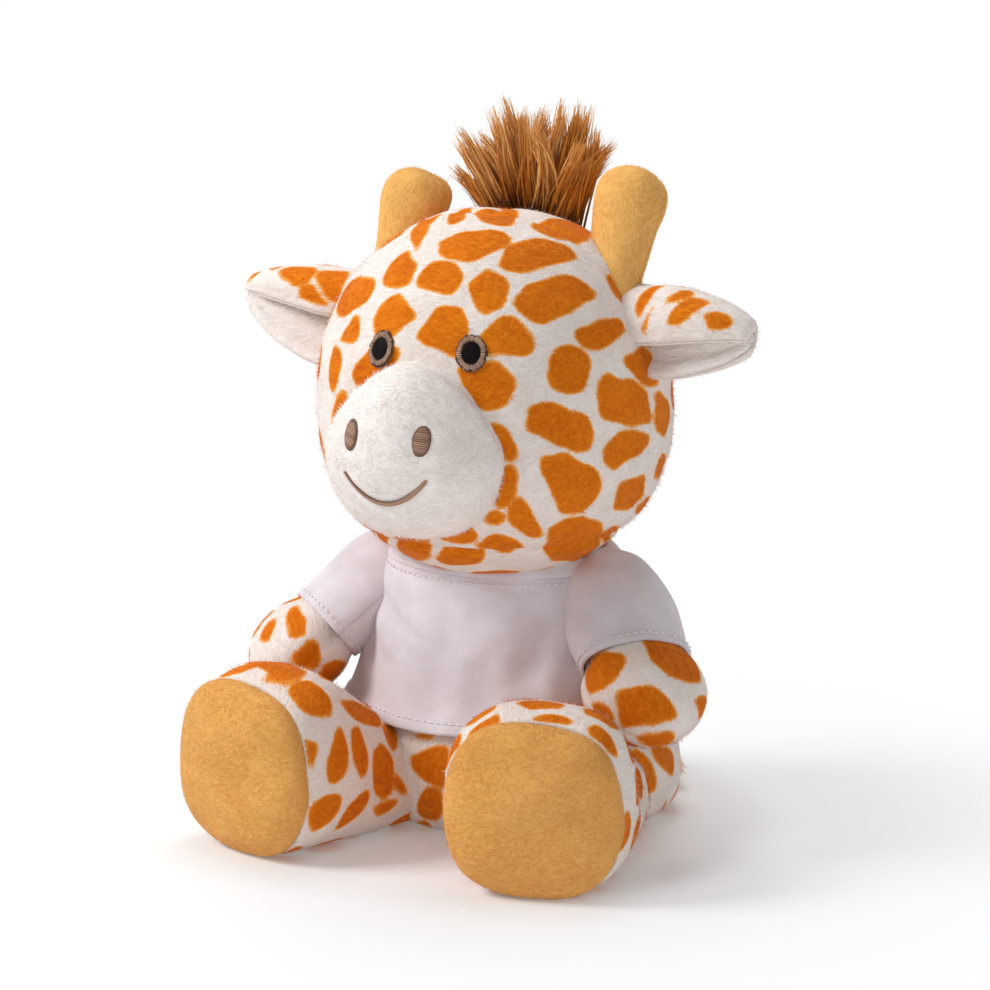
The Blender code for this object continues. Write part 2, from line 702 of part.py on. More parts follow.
def make_ears(looks, pivots, tools):
    for side in SIDES:
        pivot = pivots["ear_" + side]
        axis = mirrored(EAR_ROOT_HIGH - EAR_ROOT_LOW, side).normalized()
        flaps = (-EAR_FLAP_DEG, 0, EAR_FLAP_DEG)
        tools_here = [
            swept("head_from_ear_" + side, tools["head_turning"], pivot.location, axis, flaps),
            swept("horn_from_ear_" + side, tools["horn_" + side], pivot.location, axis, flaps),
        ]
        back = ear_ply("ear_back", side, 1.0)
        finished("ear_back_" + side, back, looks["printed_plush"], pivot, tools_here)
        lining = ear_ply("ear_lining", side, -1.0)
        finished("ear_lining_" + side, lining, looks["white_plush"], pivot, tools_here)


# T-shirt

def shirt_outline(grow):
    """The T-shirt's outside, from its neck down to the hem, over the body's outline."""
    body = sorted((z, r) for r, z in grown(body_outline(), SHIRT_EASE + COTTON_WALL + grow) if r > 0.0)
    heights = [HEM_HEIGHT + (SHIRT_TOP_HEIGHT - HEM_HEIGHT) * k / 7 for k in range(8)]
    return [(between(body, z) + HEM_FLARE * (1.0 - k / 7) ** 2, z) for k, z in enumerate(heights)][::-1]


def shirt_place(point):
    """Shallow upright folds, deepest at the hem and gone at the chest, then the torso's oval and lean."""
    depth = HEM_FOLD_DEPTH * max(0.0, 1.0 - (point.z - HEM_HEIGHT) / (SHIRT_TOP_HEIGHT - HEM_HEIGHT)) ** 2
    radius = math.hypot(point.x, point.y)
    share = 1.0 + depth * math.cos(HEM_FOLD_COUNT * math.atan2(point.y, point.x)) / radius if radius > 0.0 else 1.0
    return torso_place(Vector((point.x * share, point.y * share, point.z)))


def collar_outline(grow):
    """The neck band's outside, from its upper edge down to its seam with the T-shirt."""
    body = sorted((z, r) for r, z in grown(body_outline(), SHIRT_EASE + COTTON_WALL + COLLAR_PROUD + grow) if r > 0.0)
    low = SHIRT_TOP_HEIGHT + SEAM_GAP
    return [(between(body, z), z) for z in (low + COLLAR_WIDTH, low + COLLAR_WIDTH / 2, low)]


def cloth_solid(name, profile, grow):
    """A tube of cloth filled in, as a cutter for sleeves, arms and legs."""
    top, low = profile[0], profile[-1]
    closed = [(0.0, top[1] + grow), (top[0], top[1] + grow)] + profile[1:-1]
    closed += [(low[0], low[1] - grow), (0.0, low[1] - grow)]
    return moved_mesh(turned(name, closed, SHIRT_SIDES), shirt_place)


def armhole_mesh(name, side, radius):
    mesh = cylinder_mesh(name, radius, SHOULDER_OUT, DISC_SIDES)
    mesh.transform(Matrix.Rotation(math.radians(90), 4, "Y"))
    mesh.transform(Matrix.Translation(shoulder(side)))
    return mesh


def make_shirt(looks, root, tools):
    body = moved_mesh(turned("shirt_body", tube_profile(shirt_outline(0.0), COTTON_WALL), SHIRT_SIDES), shirt_place)
    holes = [
        cutter("armhole_" + side, armhole_mesh("armhole", side, SHOULDER_RADIUS + 2 * TURNING_GAP)) for side in SIDES
    ]
    finished("shirt_body", body, looks["cotton"], root, holes + [tools["head"]])
    collar = moved_mesh(turned("neck_band", tube_profile(collar_outline(0.0), COTTON_WALL), SHIRT_SIDES), torso_place)
    finished("neck_band", collar, looks["cotton"], root, [tools["head"]])


# Arms and sleeves

def shoulder(side):
    return mirrored(Vector((SHOULDER_OUT, SHOULDER_BACK, SHOULDER_HEIGHT)), side)


def arm_place(side):
    """The matrix that lays a turned arm along its direction and flattens it on its outer side."""
    along = (mirrored(HAND_RESTS_AT, side) - shoulder(side)).normalized()
    flat = mirrored(ARM_FLAT_SIDE, side)
    flat = (flat - along * flat.dot(along)).normalized()
    turn = Matrix((flat.cross(along), flat, along)).transposed().to_4x4()
    return Matrix.Translation(shoulder(side)) @ turn @ Matrix.Diagonal((1.0, ARM_FLATNESS_SHARE, 1.0, 1.0))


def arm_tools(side, point, tools):
    """What an arm and its sleeve pass as they lift. The armhole lets the arm through the T-shirt to the body."""
    angles = steps_to(ARM_LIFT_DEG)
    axis = Vector((-1.0, 0.0, 0.0))
    shirt, collar, seat, head = (
        swept(f"{name}_from_arm_{side}", tools[name], point, axis, angles)
        for name in ("shirt", "collar", "seat", "head")
    )
    hole = cutter("armhole_space_" + side, armhole_mesh("armhole_space", side, SHOULDER_RADIUS + TURNING_GAP))
    steps = [("UNION", shirt), ("DIFFERENCE", hole), ("UNION", collar), ("UNION", seat), ("UNION", head)]
    return {
        "arm": joined("around_arm_" + side, steps),
        "sleeve": joined("around_sleeve_" + side, [("UNION", shirt), ("UNION", collar), ("UNION", head)]),
    }


def make_arms(looks, pivots, tools):
    outline = arm_outline()
    for side in SIDES:
        pivot = pivots["arm_" + side]
        place = arm_place(side)
        around = arm_tools(side, pivot.location, tools)
        rest = [tools["leg_space_" + side]]
        cover = with_matrix(turned("arm", shell_profile(outline[:-1], PLUSH_WALL), ARM_SIDES), place)
        finished("arm_cover_" + side, cover, looks["printed_plush"], pivot, [around["arm"]] + rest)
        inner = grown(outline, -(PLUSH_WALL + STUFFING_GAP))
        stuffing = with_matrix(turned("arm_fill", inner, ARM_SIDES), place)
        finished("arm_stuffing_" + side, stuffing, looks["fibre"], pivot, [around["arm"]] + rest)
        sleeve = with_matrix(turned("sleeve", shell_profile(sleeve_outline(), COTTON_WALL), ARM_SIDES), place)
        finished("shirt_sleeve_" + side, sleeve, looks["cotton"], pivot, [around["sleeve"]] + rest)


# Legs

def leg_place(side):
    """Lays a turned leg along the floor: each section rests on it, sags wide below and is lower towards the hip."""
    splay = math.radians(LEG_SPLAY_DEG[side]) * SIDES[side]
    ahead = Vector((math.sin(splay), -math.cos(splay), 0.0))
    across = ahead.cross(Vector((0.0, 0.0, 1.0)))
    seam = mirrored(Vector((HIP_OUT, -HIP_AHEAD, 0.0)), side) + ahead * HIP_TO_SOLE
    radii = sorted((s, r) for r, s in leg_outline())

    def place(point):
        along = point.z / LEG_LENGTH
        height = between(LEG_HEIGHT_SHARES, along)
        wider = sagging(point.x, point.y, between(LEG_SAG_SHARES, along))
        rise = between(radii, min(point.z, LEG_LENGTH * THIGH_OUTLINE_SHARES[2][0])) * height - FLOOR_CUT
        up = Vector((0.0, 0.0, rise + point.y * wider * height))
        return seam - ahead * point.z - across * point.x * wider + up

    return place


def sagging(x, y, share):
    """How much further out a point of a round section's lower half goes, as its own weight makes it sag."""
    radius = math.hypot(x, y)
    if y >= 0.0 or radius == 0.0:
        return 1.0
    squarer = ((abs(x) / radius) ** LEG_SAG_POWER + (abs(y) / radius) ** LEG_SAG_POWER) ** (-1.0 / LEG_SAG_POWER)
    return 1.0 + (squarer - 1.0) * share


def leg_hinge(side):
    """The hip's hinge lies low, where the leg's underside meets the front of the seat."""
    splay = math.radians(LEG_SPLAY_DEG[side]) * SIDES[side]
    hip = mirrored(Vector((HIP_OUT, -HIP_AHEAD, LEG_HINGE_HEIGHT)), side)
    return hip + Vector((math.sin(splay), -math.cos(splay), 0.0)) * THIGH_RADIUS


def make_legs(looks, pivots, tools):
    outline = leg_outline()
    for side in SIDES:
        pivot = pivots["leg_" + side]
        axis = Vector((1.0, 0.0, 0.0))
        sweep = steps_to(LEG_DROP_DEG)
        around = [swept("torso_from_leg_" + side, tools["seat_and_shirt"], pivot.location, axis, sweep)]
        cover = moved_mesh(turned("leg", shell_profile(outline, PLUSH_WALL), LEG_SIDES), leg_place(side))
        finished("leg_cover_" + side, cover, looks["printed_plush"], pivot, around + [tools["floor"]])
        dome = [(r, s) for r, s in sole_outline(-(PLUSH_WALL + STUFFING_GAP))]
        inner = grown(outline, -(PLUSH_WALL + STUFFING_GAP))[:-1] + dome
        stuffing = moved_mesh(turned("leg_fill", inner, LEG_SIDES), leg_place(side))
        finished("leg_stuffing_" + side, stuffing, looks["fibre"], pivot, around + [tools["floor"]])
        panel = shell_profile(sole_outline(), PLUSH_WALL)
        sole = moved_mesh(turned("sole", panel, LEG_SIDES), leg_place(side))
        finished("sole_" + side, sole, looks["tan_plush"], pivot, [tools["floor"]])


# Tail

def make_tail(looks, pivot, tools):
    angles = (0, TAIL_SWING_DEG / 2, TAIL_SWING_DEG)
    tools_here = [swept("seat_from_tail", tools["seat"], pivot.location, Vector((0.0, 0.0, 1.0)), angles)]
    route = smooth_route((TAIL_ROOT, TAIL_BEND, TAIL_SIDE, TAIL_END), 4)
    tube = tube_mesh("tail", route, TAIL_RADIUS)
    finished("tail_cover", tube, looks["printed_plush"], pivot, tools_here)
    length = (TUFT_END - TUFT_START).length
    outline = [(0.0, 1.0), (0.30, 0.93), (0.72, 0.72), (1.0, 0.45), (0.86, 0.18), (0.62, 0.0), (0.0, 0.0)]
    profile = [(r * TUFT_RADIUS, s * length) for r, s in outline]
    tuft = with_matrix(turned("tuft", profile, DISC_SIDES // 2), pointing(TUFT_START, TUFT_END - TUFT_START))
    finished("tail_tuft", tuft, looks["pale_pile"], pivot, tools_here)


def smooth_route(points, steps):
    """Points along a smooth curve through a route's own points."""
    padded = [points[0] * 2 - points[1], *points, points[-1] * 2 - points[-2]]
    made = []
    for a, b, c, d in zip(padded, padded[1:], padded[2:], padded[3:]):
        for k in range(steps):
            t = k / steps
            made.append(
                (b * 2 + (c - a) * t + (a * 2 - b * 5 + c * 4 - d) * t**2 + (b * 3 - a - c * 3 + d) * t**3) / 2
            )
    return made + [points[-1]]


# The whole toy

def shared_tools():
    """The cutters that several pieces share."""
    tools = {
        "head": cutter("head_seat", head_seat("head_seat")),
        "head_seam": cutter("head_seam", head_solid("head_seam", SEAM_GAP)),
        "head_turning": cutter("head_turning", head_solid("head_turning", TURNING_GAP)),
        "floor": cutter("floor", floor_box()),
        "seat": cutter("seat", torso_mesh("seat", grown(body_outline(), TURNING_GAP))),
        "shirt": cutter("shirt", cloth_solid("shirt", shirt_outline(TURNING_GAP), TURNING_GAP)),
        "collar": cutter("collar", cloth_solid("collar", collar_outline(2 * TURNING_GAP), 2 * TURNING_GAP)),
        "hem": cutter("hem", cloth_solid("hem", shirt_outline(2 * TURNING_GAP), 2 * TURNING_GAP)),
        "neck_bore": cutter("neck_bore", neck_mesh("neck_bore", NECK_RADIUS + TURNING_GAP, neck_bottom() - SEAM_GAP)),
    }
    for side in SIDES:
        tools["horn_" + side] = cutter("horn_space_" + side, horn_solid(side, TURNING_GAP))
        room = grown(leg_outline(), TURNING_GAP) + [(0.0, 0.0)]
        leg = moved_mesh(turned("leg_space", room, LEG_SIDES), leg_place(side))
        tools["leg_space_" + side] = cutter("leg_space_" + side, leg)
    tools["seat_and_shirt"] = joined("seat_and_shirt", [("UNION", tools["seat"]), ("UNION", tools["hem"])])
    return tools


def joined(name, steps):
    """One cutter made from others by Boolean steps, of which the first gives the mesh to start from."""
    obj = object_in(CUTTERS, name, steps[0][1].data.copy())
    for operation, tool in steps[1:]:
        cut(obj, tool, operation)
    return cutter(name, applied(obj))


def pivot_at(name, point, parent):
    empty = object_in(PARTS, name, None)
    empty.location = point - (parent.matrix_basis.translation if parent else Vector())
    empty.parent = parent
    return empty


def main():
    clear_scene()
    looks = materials()
    tools = shared_tools()
    places = {"head": HEAD_CENTRE, "neck": HEAD_CENTRE, "tail": TAIL_ROOT}
    for side in SIDES:
        places["arm_" + side] = shoulder(side)
        places["leg_" + side] = leg_hinge(side)
        places["ear_" + side] = HEAD_CENTRE + mirrored((EAR_ROOT_LOW + EAR_ROOT_HIGH) / 2, side)
    places["toy"] = Vector()
    pivots = {name: pivot_at(name + "_pivot", point, None) for name, point in places.items()}
    make_body(looks, pivots["toy"], tools)
    neck = neck_mesh("neck_stuffing", NECK_RADIUS, neck_bottom())
    finished("neck_stuffing", neck, looks["fibre"], pivots["neck"], [tools["head"]])
    make_head(looks, pivots["head"])
    make_muzzle(looks, pivots["head"], tools)
    make_eyes(looks, pivots["head"])
    make_nose_and_smile(looks, pivots["head"])
    make_horns(looks, pivots["head"], tools)
    make_hair(looks, pivots["head"], tools)
    make_ears(looks, pivots, tools)
    make_shirt(looks, pivots["toy"], tools)
    make_arms(looks, pivots, tools)
    make_legs(looks, pivots, tools)
    make_tail(looks, pivots["tail"], tools)
    centre_toy(pivots)


def centre_toy(pivots):
    """Puts the middle of the toy's outline over the origin, by hanging the pivots and cutters from one empty."""
    bpy.context.view_layer.update()
    graph = bpy.context.evaluated_depsgraph_get()
    places = []
    for obj in PARTS.objects:
        if obj.type == "MESH":
            matrix = obj.matrix_world.copy()
            places += [matrix @ vertex.co for vertex in obj.evaluated_get(graph).data.vertices]
    middle_x = (min(p.x for p in places) + max(p.x for p in places)) / 2
    middle_y = (min(p.y for p in places) + max(p.y for p in places)) / 2
    centre = object_in(PARTS, "centre", None)
    centre.location = Vector((-middle_x, -middle_y, 0.0))
    for obj in [*pivots.values(), *CUTTERS.objects]:
        obj.parent = centre
    bpy.context.view_layer.update()
    for name, pivot in pivots.items():
        print(name, "pivot at", tuple(round(v, 5) for v in pivot.matrix_world.translation))


main()
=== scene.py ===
# %% [markdown]
# # A seated plush giraffe in a T-shirt
# A plush toy is a set of cloth covers, cut flat, sewn along their edges, turned and stuffed. Its looks come from three
# things: round forms that dip where a seam pulls them in, short pile that blurs every edge, and a printed pattern.
# Each cover is made here as its own piece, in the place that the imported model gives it.

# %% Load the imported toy
import math

import bmesh
import bpy
import numpy as np
from mathutils import Matrix, Vector


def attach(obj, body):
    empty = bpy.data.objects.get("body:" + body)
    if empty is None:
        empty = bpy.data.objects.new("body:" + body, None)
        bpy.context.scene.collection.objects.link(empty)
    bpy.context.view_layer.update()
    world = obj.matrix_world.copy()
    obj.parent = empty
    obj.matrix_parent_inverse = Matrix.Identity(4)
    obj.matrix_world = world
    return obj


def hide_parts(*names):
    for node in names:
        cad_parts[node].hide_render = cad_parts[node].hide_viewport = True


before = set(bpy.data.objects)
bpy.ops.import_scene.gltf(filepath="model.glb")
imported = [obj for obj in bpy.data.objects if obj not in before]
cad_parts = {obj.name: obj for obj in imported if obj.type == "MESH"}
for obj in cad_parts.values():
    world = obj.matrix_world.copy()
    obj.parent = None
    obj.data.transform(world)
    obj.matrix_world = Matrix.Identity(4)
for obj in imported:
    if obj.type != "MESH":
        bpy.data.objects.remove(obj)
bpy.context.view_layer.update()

# %% [markdown]
# ## The toy's own sizes
# The covers follow the same outlines as the solids, so the same named sizes stand here. Places are worked out with the
# head over the origin, and the toy then moves a little so that its middle stands there.

# %% Sizes, in metres
TOY_SHIFT = np.array((0.0, 0.00557, 0.0))
FLOOR_CUT = 0.0005
FLOOR_GAP = 0.0003
HEAD_RADIUS = 0.0480
JAW_RADIUS = 0.0522
JAW_FULL_ANGLE_DEG = 128
HEAD_CENTRE = np.array((0.0, 0.0, 0.1207))
HEAD_HOLE_RADIUS = 0.0160
TORSO_HEIGHT = 0.0840
SEAT_HALF_WIDTH = 0.0478
SEAT_HALF_DEPTH = 0.0412
SEAT_BACKSET = 0.0125
TORSO_LEAN = 0.0073
BODY_OUTLINE_SHARES = (
    (1.0, 0.0), (0.975, 0.35), (0.917, 0.56), (0.845, 0.67), (0.714, 0.745), (0.536, 0.805),
    (0.40, 0.87), (0.28, 0.97), (0.16, 1.0), (0.05, 0.945), (0.0, 0.82), (0.0, 0.0),
)
SIDES = {"L": 1.0, "R": -1.0}

# %% [markdown]
# ## Smooth covers from a few stations
# A cover is described by a handful of stations along its length, each with a radius. A curve through the stations gives
# a smooth outline, and turning it gives a surface of small even faces, which later carries creases and the printed
# pattern. The turning is done on arrays of numbers, because each point then keeps its turn and its way along the piece.

# %% Smooth lines and turned surfaces


def unit(vectors):
    vectors = np.asarray(vectors, float)
    return vectors / np.linalg.norm(vectors, axis=-1, keepdims=True)


def eased(share):
    """A share from 0 to 1 that starts and ends gently."""
    return share * share * (3 - 2 * share)


def smooth_line(stations, step, count=0):
    """A smooth curve through stations, cut into even steps. It meets the axis squarely where a radius is nothing."""
    stops = np.array(stations, float)
    flip = np.ones(stops.shape[1])
    flip[0] = -1.0
    first = stops[1] * flip if stops[0, 0] == 0.0 else 2 * stops[0] - stops[1]
    last = stops[-2] * flip if stops[-1, 0] == 0.0 else 2 * stops[-1] - stops[-2]
    padded = np.vstack([first, stops, last])
    gaps = np.linalg.norm(np.diff(padded, axis=0), axis=1)
    slopes = np.diff(padded, axis=0) / gaps[:, None]
    tangents = (slopes[:-1] * gaps[1:, None] + slopes[1:] * gaps[:-1, None]) / (gaps[:-1] + gaps[1:])[:, None]
    dense = []
    for i in range(len(stops) - 1):
        t = np.linspace(0.0, 1.0, 25)[:, None]
        length = gaps[i + 1]
        dense.append(
            (2 * t**3 - 3 * t**2 + 1) * stops[i] + (t**3 - 2 * t**2 + t) * length * tangents[i]
            + (3 * t**2 - 2 * t**3) * stops[i + 1] + (t**3 - t**2) * length * tangents[i + 1]
        )
    dense = np.vstack(dense)
    along = np.concatenate([[0.0], np.cumsum(np.linalg.norm(np.diff(dense, axis=0), axis=1))])
    even = np.linspace(0.0, along[-1], (count or max(2, round(along[-1] / step))) + 1)
    return np.column_stack([np.interp(even, along, dense[:, k]) for k in range(stops.shape[1])])


class Surface:
    """Points and faces, with each point's turn about the piece (radians) and its way along it (metres)."""

    def __init__(self, points, faces, turn, along):
        self.points, self.faces, self.turn, self.along = points, faces, turn, along


def turned(outline, around):
    """The surface that an outline of (radius, height) points makes when it turns about Z."""
    outline = np.maximum(outline, [[0.0, -1.0]])
    way = np.concatenate([[0.0], np.cumsum(np.linalg.norm(np.diff(outline, axis=0), axis=1))])
    points, turns, alongs, rings = [], [], [], []
    angles = np.linspace(0.0, math.tau, around, endpoint=False)
    for (radius, height), at in zip(outline, way):
        start = len(points)
        if radius < 0.00001:
            rings.append([start])
            points.append((0.0, 0.0, height))
            turns.append(0.0)
            alongs.append(at)
        else:
            rings.append(list(range(start, start + around)))
            points += [(radius * math.cos(a), radius * math.sin(a), height) for a in angles]
            turns += list(angles)
            alongs += [at] * around
    faces = []
    for one, two in zip(rings, rings[1:]):
        for k in range(around):
            n = (k + 1) % around
            if len(one) == 1:
                faces.append((one[0], two[n], two[k]))
            elif len(two) == 1:
                faces.append((one[k], one[n], two[0]))
            else:
                faces.append((one[k], one[n], two[n], two[k]))
    return Surface(np.array(points), faces, np.array(turns), np.array(alongs))


def pointing(origin, direction, squash=1.0):
    """A function that stands a turned piece on a point, along a direction, flattened across it."""
    turn = np.array(Vector(direction).to_track_quat("Z", "Y").to_matrix())
    return lambda points: (points * (1.0, squash, 1.0)) @ turn.T + np.asarray(origin)


print("helpers for smooth covers are ready")

# %% [markdown]
# ## Seams and soft lumps
# A seam is a line where two covers are pulled together, so the surface dips along it. Stuffing never lies quite evenly
# either. Both are small moves of the points along the surface's own direction. The dips come from the distance to a
# line, and the lumps from a few slow waves with fixed seeds, which gives the same toy on each run.

# %% Creases, lumps and meshes


def lumps(points, size, seed, waves=7):
    """Slow uneven waves of about a size, between -1 and 1, the same on each run."""
    chance = np.random.default_rng(seed)
    directions = unit(chance.normal(size=(waves, 3)))
    phases = chance.uniform(0.0, math.tau, waves)
    scales = chance.uniform(0.7, 1.5, waves)
    total = sum(
        np.sin(points @ d * math.tau * s / size + phase) for d, phase, s in zip(directions, phases, scales)
    )
    return total / math.sqrt(waves) / 1.4


def distance_to(points, line):
    """Each point's distance to a dense line of points."""
    nearest = np.full(len(points), 1e9)
    for start in range(0, len(line), 64):
        part = line[start:start + 64]
        gaps = np.linalg.norm(points[:, None, :] - part[None, :, :], axis=2)
        nearest = np.minimum(nearest, gaps.min(axis=1))
    return nearest


def crease(distance, width, depth):
    """How far the surface dips at a distance from a seam."""
    return -depth * np.exp(-((distance / width) ** 2))


def directions_out(surface):
    """The way out of a surface at each of its points."""
    mesh = bpy.data.meshes.new("measured")
    mesh.from_pydata(surface.points.tolist(), [], surface.faces)
    out = np.array([vertex.normal[:] for vertex in mesh.vertices])
    bpy.data.meshes.remove(mesh)
    middle = surface.points.mean(axis=0)
    return out if ((surface.points - middle) * out).sum() > 0.0 else -out


def ring_of(surface, around, index, first=0):
    """One closed ring of a surface's points, and the way out at each of them. The rings start at the point first."""
    chosen = slice(first + index * around, first + (index + 1) * around)
    return surface.points[chosen], directions_out(surface)[chosen]


def moved_out(surface, amounts):
    surface.points = surface.points + directions_out(surface) * np.asarray(amounts)[:, None]
    return surface


def kept(obj, name, values):
    """Keeps a number per point for the material."""
    attribute = obj.data.attributes.new(name, "FLOAT", "POINT")
    attribute.data.foreach_set("value", np.asarray(values, np.float32))


def piece(name, surface, look, body, replaces=(), thickness=0.0):
    """A named piece of the toy, in place, with its finish, on the body that carries it."""
    mesh = bpy.data.meshes.new(name)
    mesh.from_pydata((surface.points + TOY_SHIFT).tolist(), [], surface.faces)
    obj = bpy.data.objects.new(name, mesh)
    bpy.context.scene.collection.objects.link(obj)
    kept(obj, "turn", surface.turn)
    kept(obj, "along", surface.along)
    form = bmesh.new()
    form.from_mesh(mesh)
    bmesh.ops.recalc_face_normals(form, faces=form.faces)
    if thickness:
        bmesh.ops.solidify(form, geom=form.faces[:], thickness=thickness)
    form.to_mesh(mesh)
    form.free()
    mesh.shade_smooth()
    mesh.materials.append(look)
    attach(obj, body)
    if replaces:
        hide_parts(*replaces)
    print(f"{name}: {len(mesh.vertices)} points, rides on {body}")
    return obj


def grid(rows):
    """A surface from rows of points, all of one length."""
    rows = np.asarray(rows, float)
    high, wide = rows.shape[:2]
    faces = [
        (r * wide + c, r * wide + c + 1, (r + 1) * wide + c + 1, (r + 1) * wide + c)
        for r in range(high - 1) for c in range(wide - 1)
    ]
    across = np.tile(np.linspace(0.0, 1.0, wide), high)
    down = np.repeat(np.linspace(0.0, 1.0, high), wide)
    return Surface(rows.reshape(-1, 3), faces, across, down)


def ring_faces(rings, around, closed=False):
    """Faces between rings of points. Closed joins the last ring to the first."""
    return [
        (r * around + c, r * around + (c + 1) % around,
         (r + 1) % rings * around + (c + 1) % around, (r + 1) % rings * around + c)
        for r in range(rings if closed else rings - 1) for c in range(around)
    ]

# %% [markdown]
# ## Shader sums written as sums
# A finish is a small sum of noises and masks. Node graphs are hard to read as code, so a wrapper round a socket lets
# plain operators add the Math nodes, and one method adds any other node.

# %% A socket that takes part in sums


def colour(red, green, blue):
    """A colour read off a screen, 0 to 255, as the light it stands for."""
    return tuple(
        v / 255 / 12.92 if v / 255 <= 0.04045 else ((v / 255 + 0.055) / 1.055) ** 2.4 for v in (red, green, blue)
    )


class Socket:
    """An output socket in a finish. Operators on it add Math nodes."""

    def __init__(self, finish, socket):
        self.finish, self.socket = finish, socket

    def sum_with(self, operation, first, second):
        return self.finish.node("ShaderNodeMath", {"operation": operation}, {0: first, 1: second})

    def __add__(self, other):
        return self.sum_with("ADD", self, other)

    def __sub__(self, other):
        return self.sum_with("SUBTRACT", self, other)

    def __mul__(self, other):
        return self.sum_with("MULTIPLY", self, other)

    def sine(self):
        return self.finish.node("ShaderNodeMath", {"operation": "SINE"}, {0: self})


class Finish:
    """A material that is being made, with the few kinds of node that these finishes use."""

    def __init__(self, name, **constants):
        self.material = bpy.data.materials.new(name)
        self.material.use_nodes = True
        self.tree = self.material.node_tree
        self.shader = self.tree.nodes["Principled BSDF"]
        for key, value in constants.items():
            self.shader.inputs[key.replace("_", " ")].default_value = value

    def node(self, kind, settings, inputs, output=0):
        """Adds a node: its settings first, then its sockets. Returns one output."""
        made = self.tree.nodes.new(kind)
        for key, value in settings.items():
            setattr(made, key, value)
        for key, value in inputs.items():
            self.feed(made.inputs[key], value)
        return Socket(self, made.outputs[output])

    def feed(self, target, value):
        if isinstance(value, Socket):
            self.tree.links.new(value.socket, target)
        elif isinstance(value, tuple) and target.type == "RGBA":
            target.default_value = (*value[:3], 1.0)
        else:
            target.default_value = value

    def place(self):
        """The point on the piece, in millimetres."""
        here = self.node("ShaderNodeTexCoord", {}, {}, "Object")
        return self.vector("SCALE", here, scale=1000.0)

    def vector(self, operation, first, second=None, scale=None):
        inputs = {0: first}
        if second is not None:
            inputs[1] = second
        if scale is not None:
            inputs["Scale"] = scale
        output = "Value" if operation in ("DOT_PRODUCT", "DISTANCE") else "Vector"
        return self.node("ShaderNodeVectorMath", {"operation": operation}, inputs, output)

    def number(self, name):
        """A number that the mesh keeps per point."""
        return self.node("ShaderNodeAttribute", {"attribute_name": name}, {}, "Fac")

    def noise(self, place, scale, detail=2.0, roughness=0.5):
        inputs = {"Vector": place, "Scale": scale, "Detail": detail, "Roughness": roughness}
        return self.node("ShaderNodeTexNoise", {}, inputs, 0)

    def range(self, value, low, high, to_low=0.0, to_high=1.0):
        """A smooth step from one value to another."""
        inputs = {"Value": value, "From Min": low, "From Max": high, "To Min": to_low, "To Max": to_high}
        return self.node("ShaderNodeMapRange", {"interpolation_type": "SMOOTHSTEP"}, inputs, 0)

    def mix(self, factor, first, second):
        inputs = {0: factor, 6: first, 7: second}
        return self.node("ShaderNodeMix", {"data_type": "RGBA"}, inputs, 2)

    def combed(self, direction, stretch, wander=1.5):
        """The point on the piece, squeezed along the way the pile lies, so that noise there turns into streaks."""
        here = self.place()
        drift = self.node("ShaderNodeTexNoise", {}, {"Vector": here, "Scale": 0.09, "Detail": 1.0}, "Color")
        here = self.vector("ADD", here, self.vector("SCALE", drift, scale=wander * 4.0))
        way = tuple(unit(direction))
        along = self.vector("DOT_PRODUCT", here, way)
        back = self.vector("SCALE", way, scale=along * (1.0 - 1.0 / stretch))
        return self.vector("SUBTRACT", here, back)

    def done(self, base, bump=None, height_mm=0.3, roughness=None):
        """Joins colour, bump and roughness to the shader."""
        self.feed(self.shader.inputs["Base Color"], base)
        if roughness is not None:
            self.feed(self.shader.inputs["Roughness"], roughness)
        if bump is not None:
            inputs = {"Height": bump, "Distance": height_mm / 1000.0, "Strength": 1.0}
            self.feed(self.shader.inputs["Normal"], self.node("ShaderNodeBump", {}, inputs, 0))
        print("finish", self.material.name, len(self.tree.nodes), "nodes")
        return self.material

    def thin(self, light, share):
        """Lets a share of the light through, as a single fibre does."""
        through = self.node("ShaderNodeBsdfTranslucent", {}, {"Color": light})
        mixed = self.node("ShaderNodeMixShader", {}, {0: share, 1: Socket(self, self.shader.outputs[0]), 2: through})
        self.tree.links.new(mixed.socket, self.tree.nodes["Material Output"].inputs["Surface"])


print("white is", [round(v, 3) for v in colour(240, 230, 226)])

# %% [markdown]
# ## The plush finishes
# Plush is cloth with a short dense pile. Up close it shows streaks where the pile leans one way, and it has a soft sheen
# at grazing angles. The print goes on the finished pile, so a patch's edge is ragged along the streaks and paler than
# its middle. One function makes each plush, with the way the pile lies as its own setting.

# %% Printed, white and tan plush
PLUSH_WHITE = colour(243, 235, 230)
PLUSH_SHADE = colour(232, 216, 205)
PRINT_MIDDLE = colour(232, 130, 20)
PRINT_DARK = colour(204, 98, 8)
PRINT_EDGE = colour(244, 170, 80)


def pile_streaks(finish, way, patch_scale, stretch=3.2, grain=1.0):
    """Streaks of leaning pile, the fine tips between them, and the tone that both give with slow patches."""
    combed = finish.combed(way, stretch)
    streaks = finish.noise(combed, 0.85 * grain, 3.0, 0.62)
    tips = finish.noise(combed, 2.6 * grain, 2.0, 0.6)
    patchy = finish.noise(finish.place(), patch_scale, 2.0)
    return streaks, tips, finish.range(streaks * 0.8 + tips * 0.5 + patchy * 0.35, 0.55, 1.05)


def plush(name, light, shade, way, stretch=3.2, grain=1.0):
    finish = Finish(name, Roughness=0.95, Sheen_Weight=0.12, Sheen_Roughness=0.3, Specular_IOR_Level=0.12)
    streaks, tips, tone = pile_streaks(finish, way, 0.07, stretch, grain)
    base = finish.mix(tone, shade, light)
    return finish.done(base, streaks * 0.6 + tips * 0.4, 0.8)


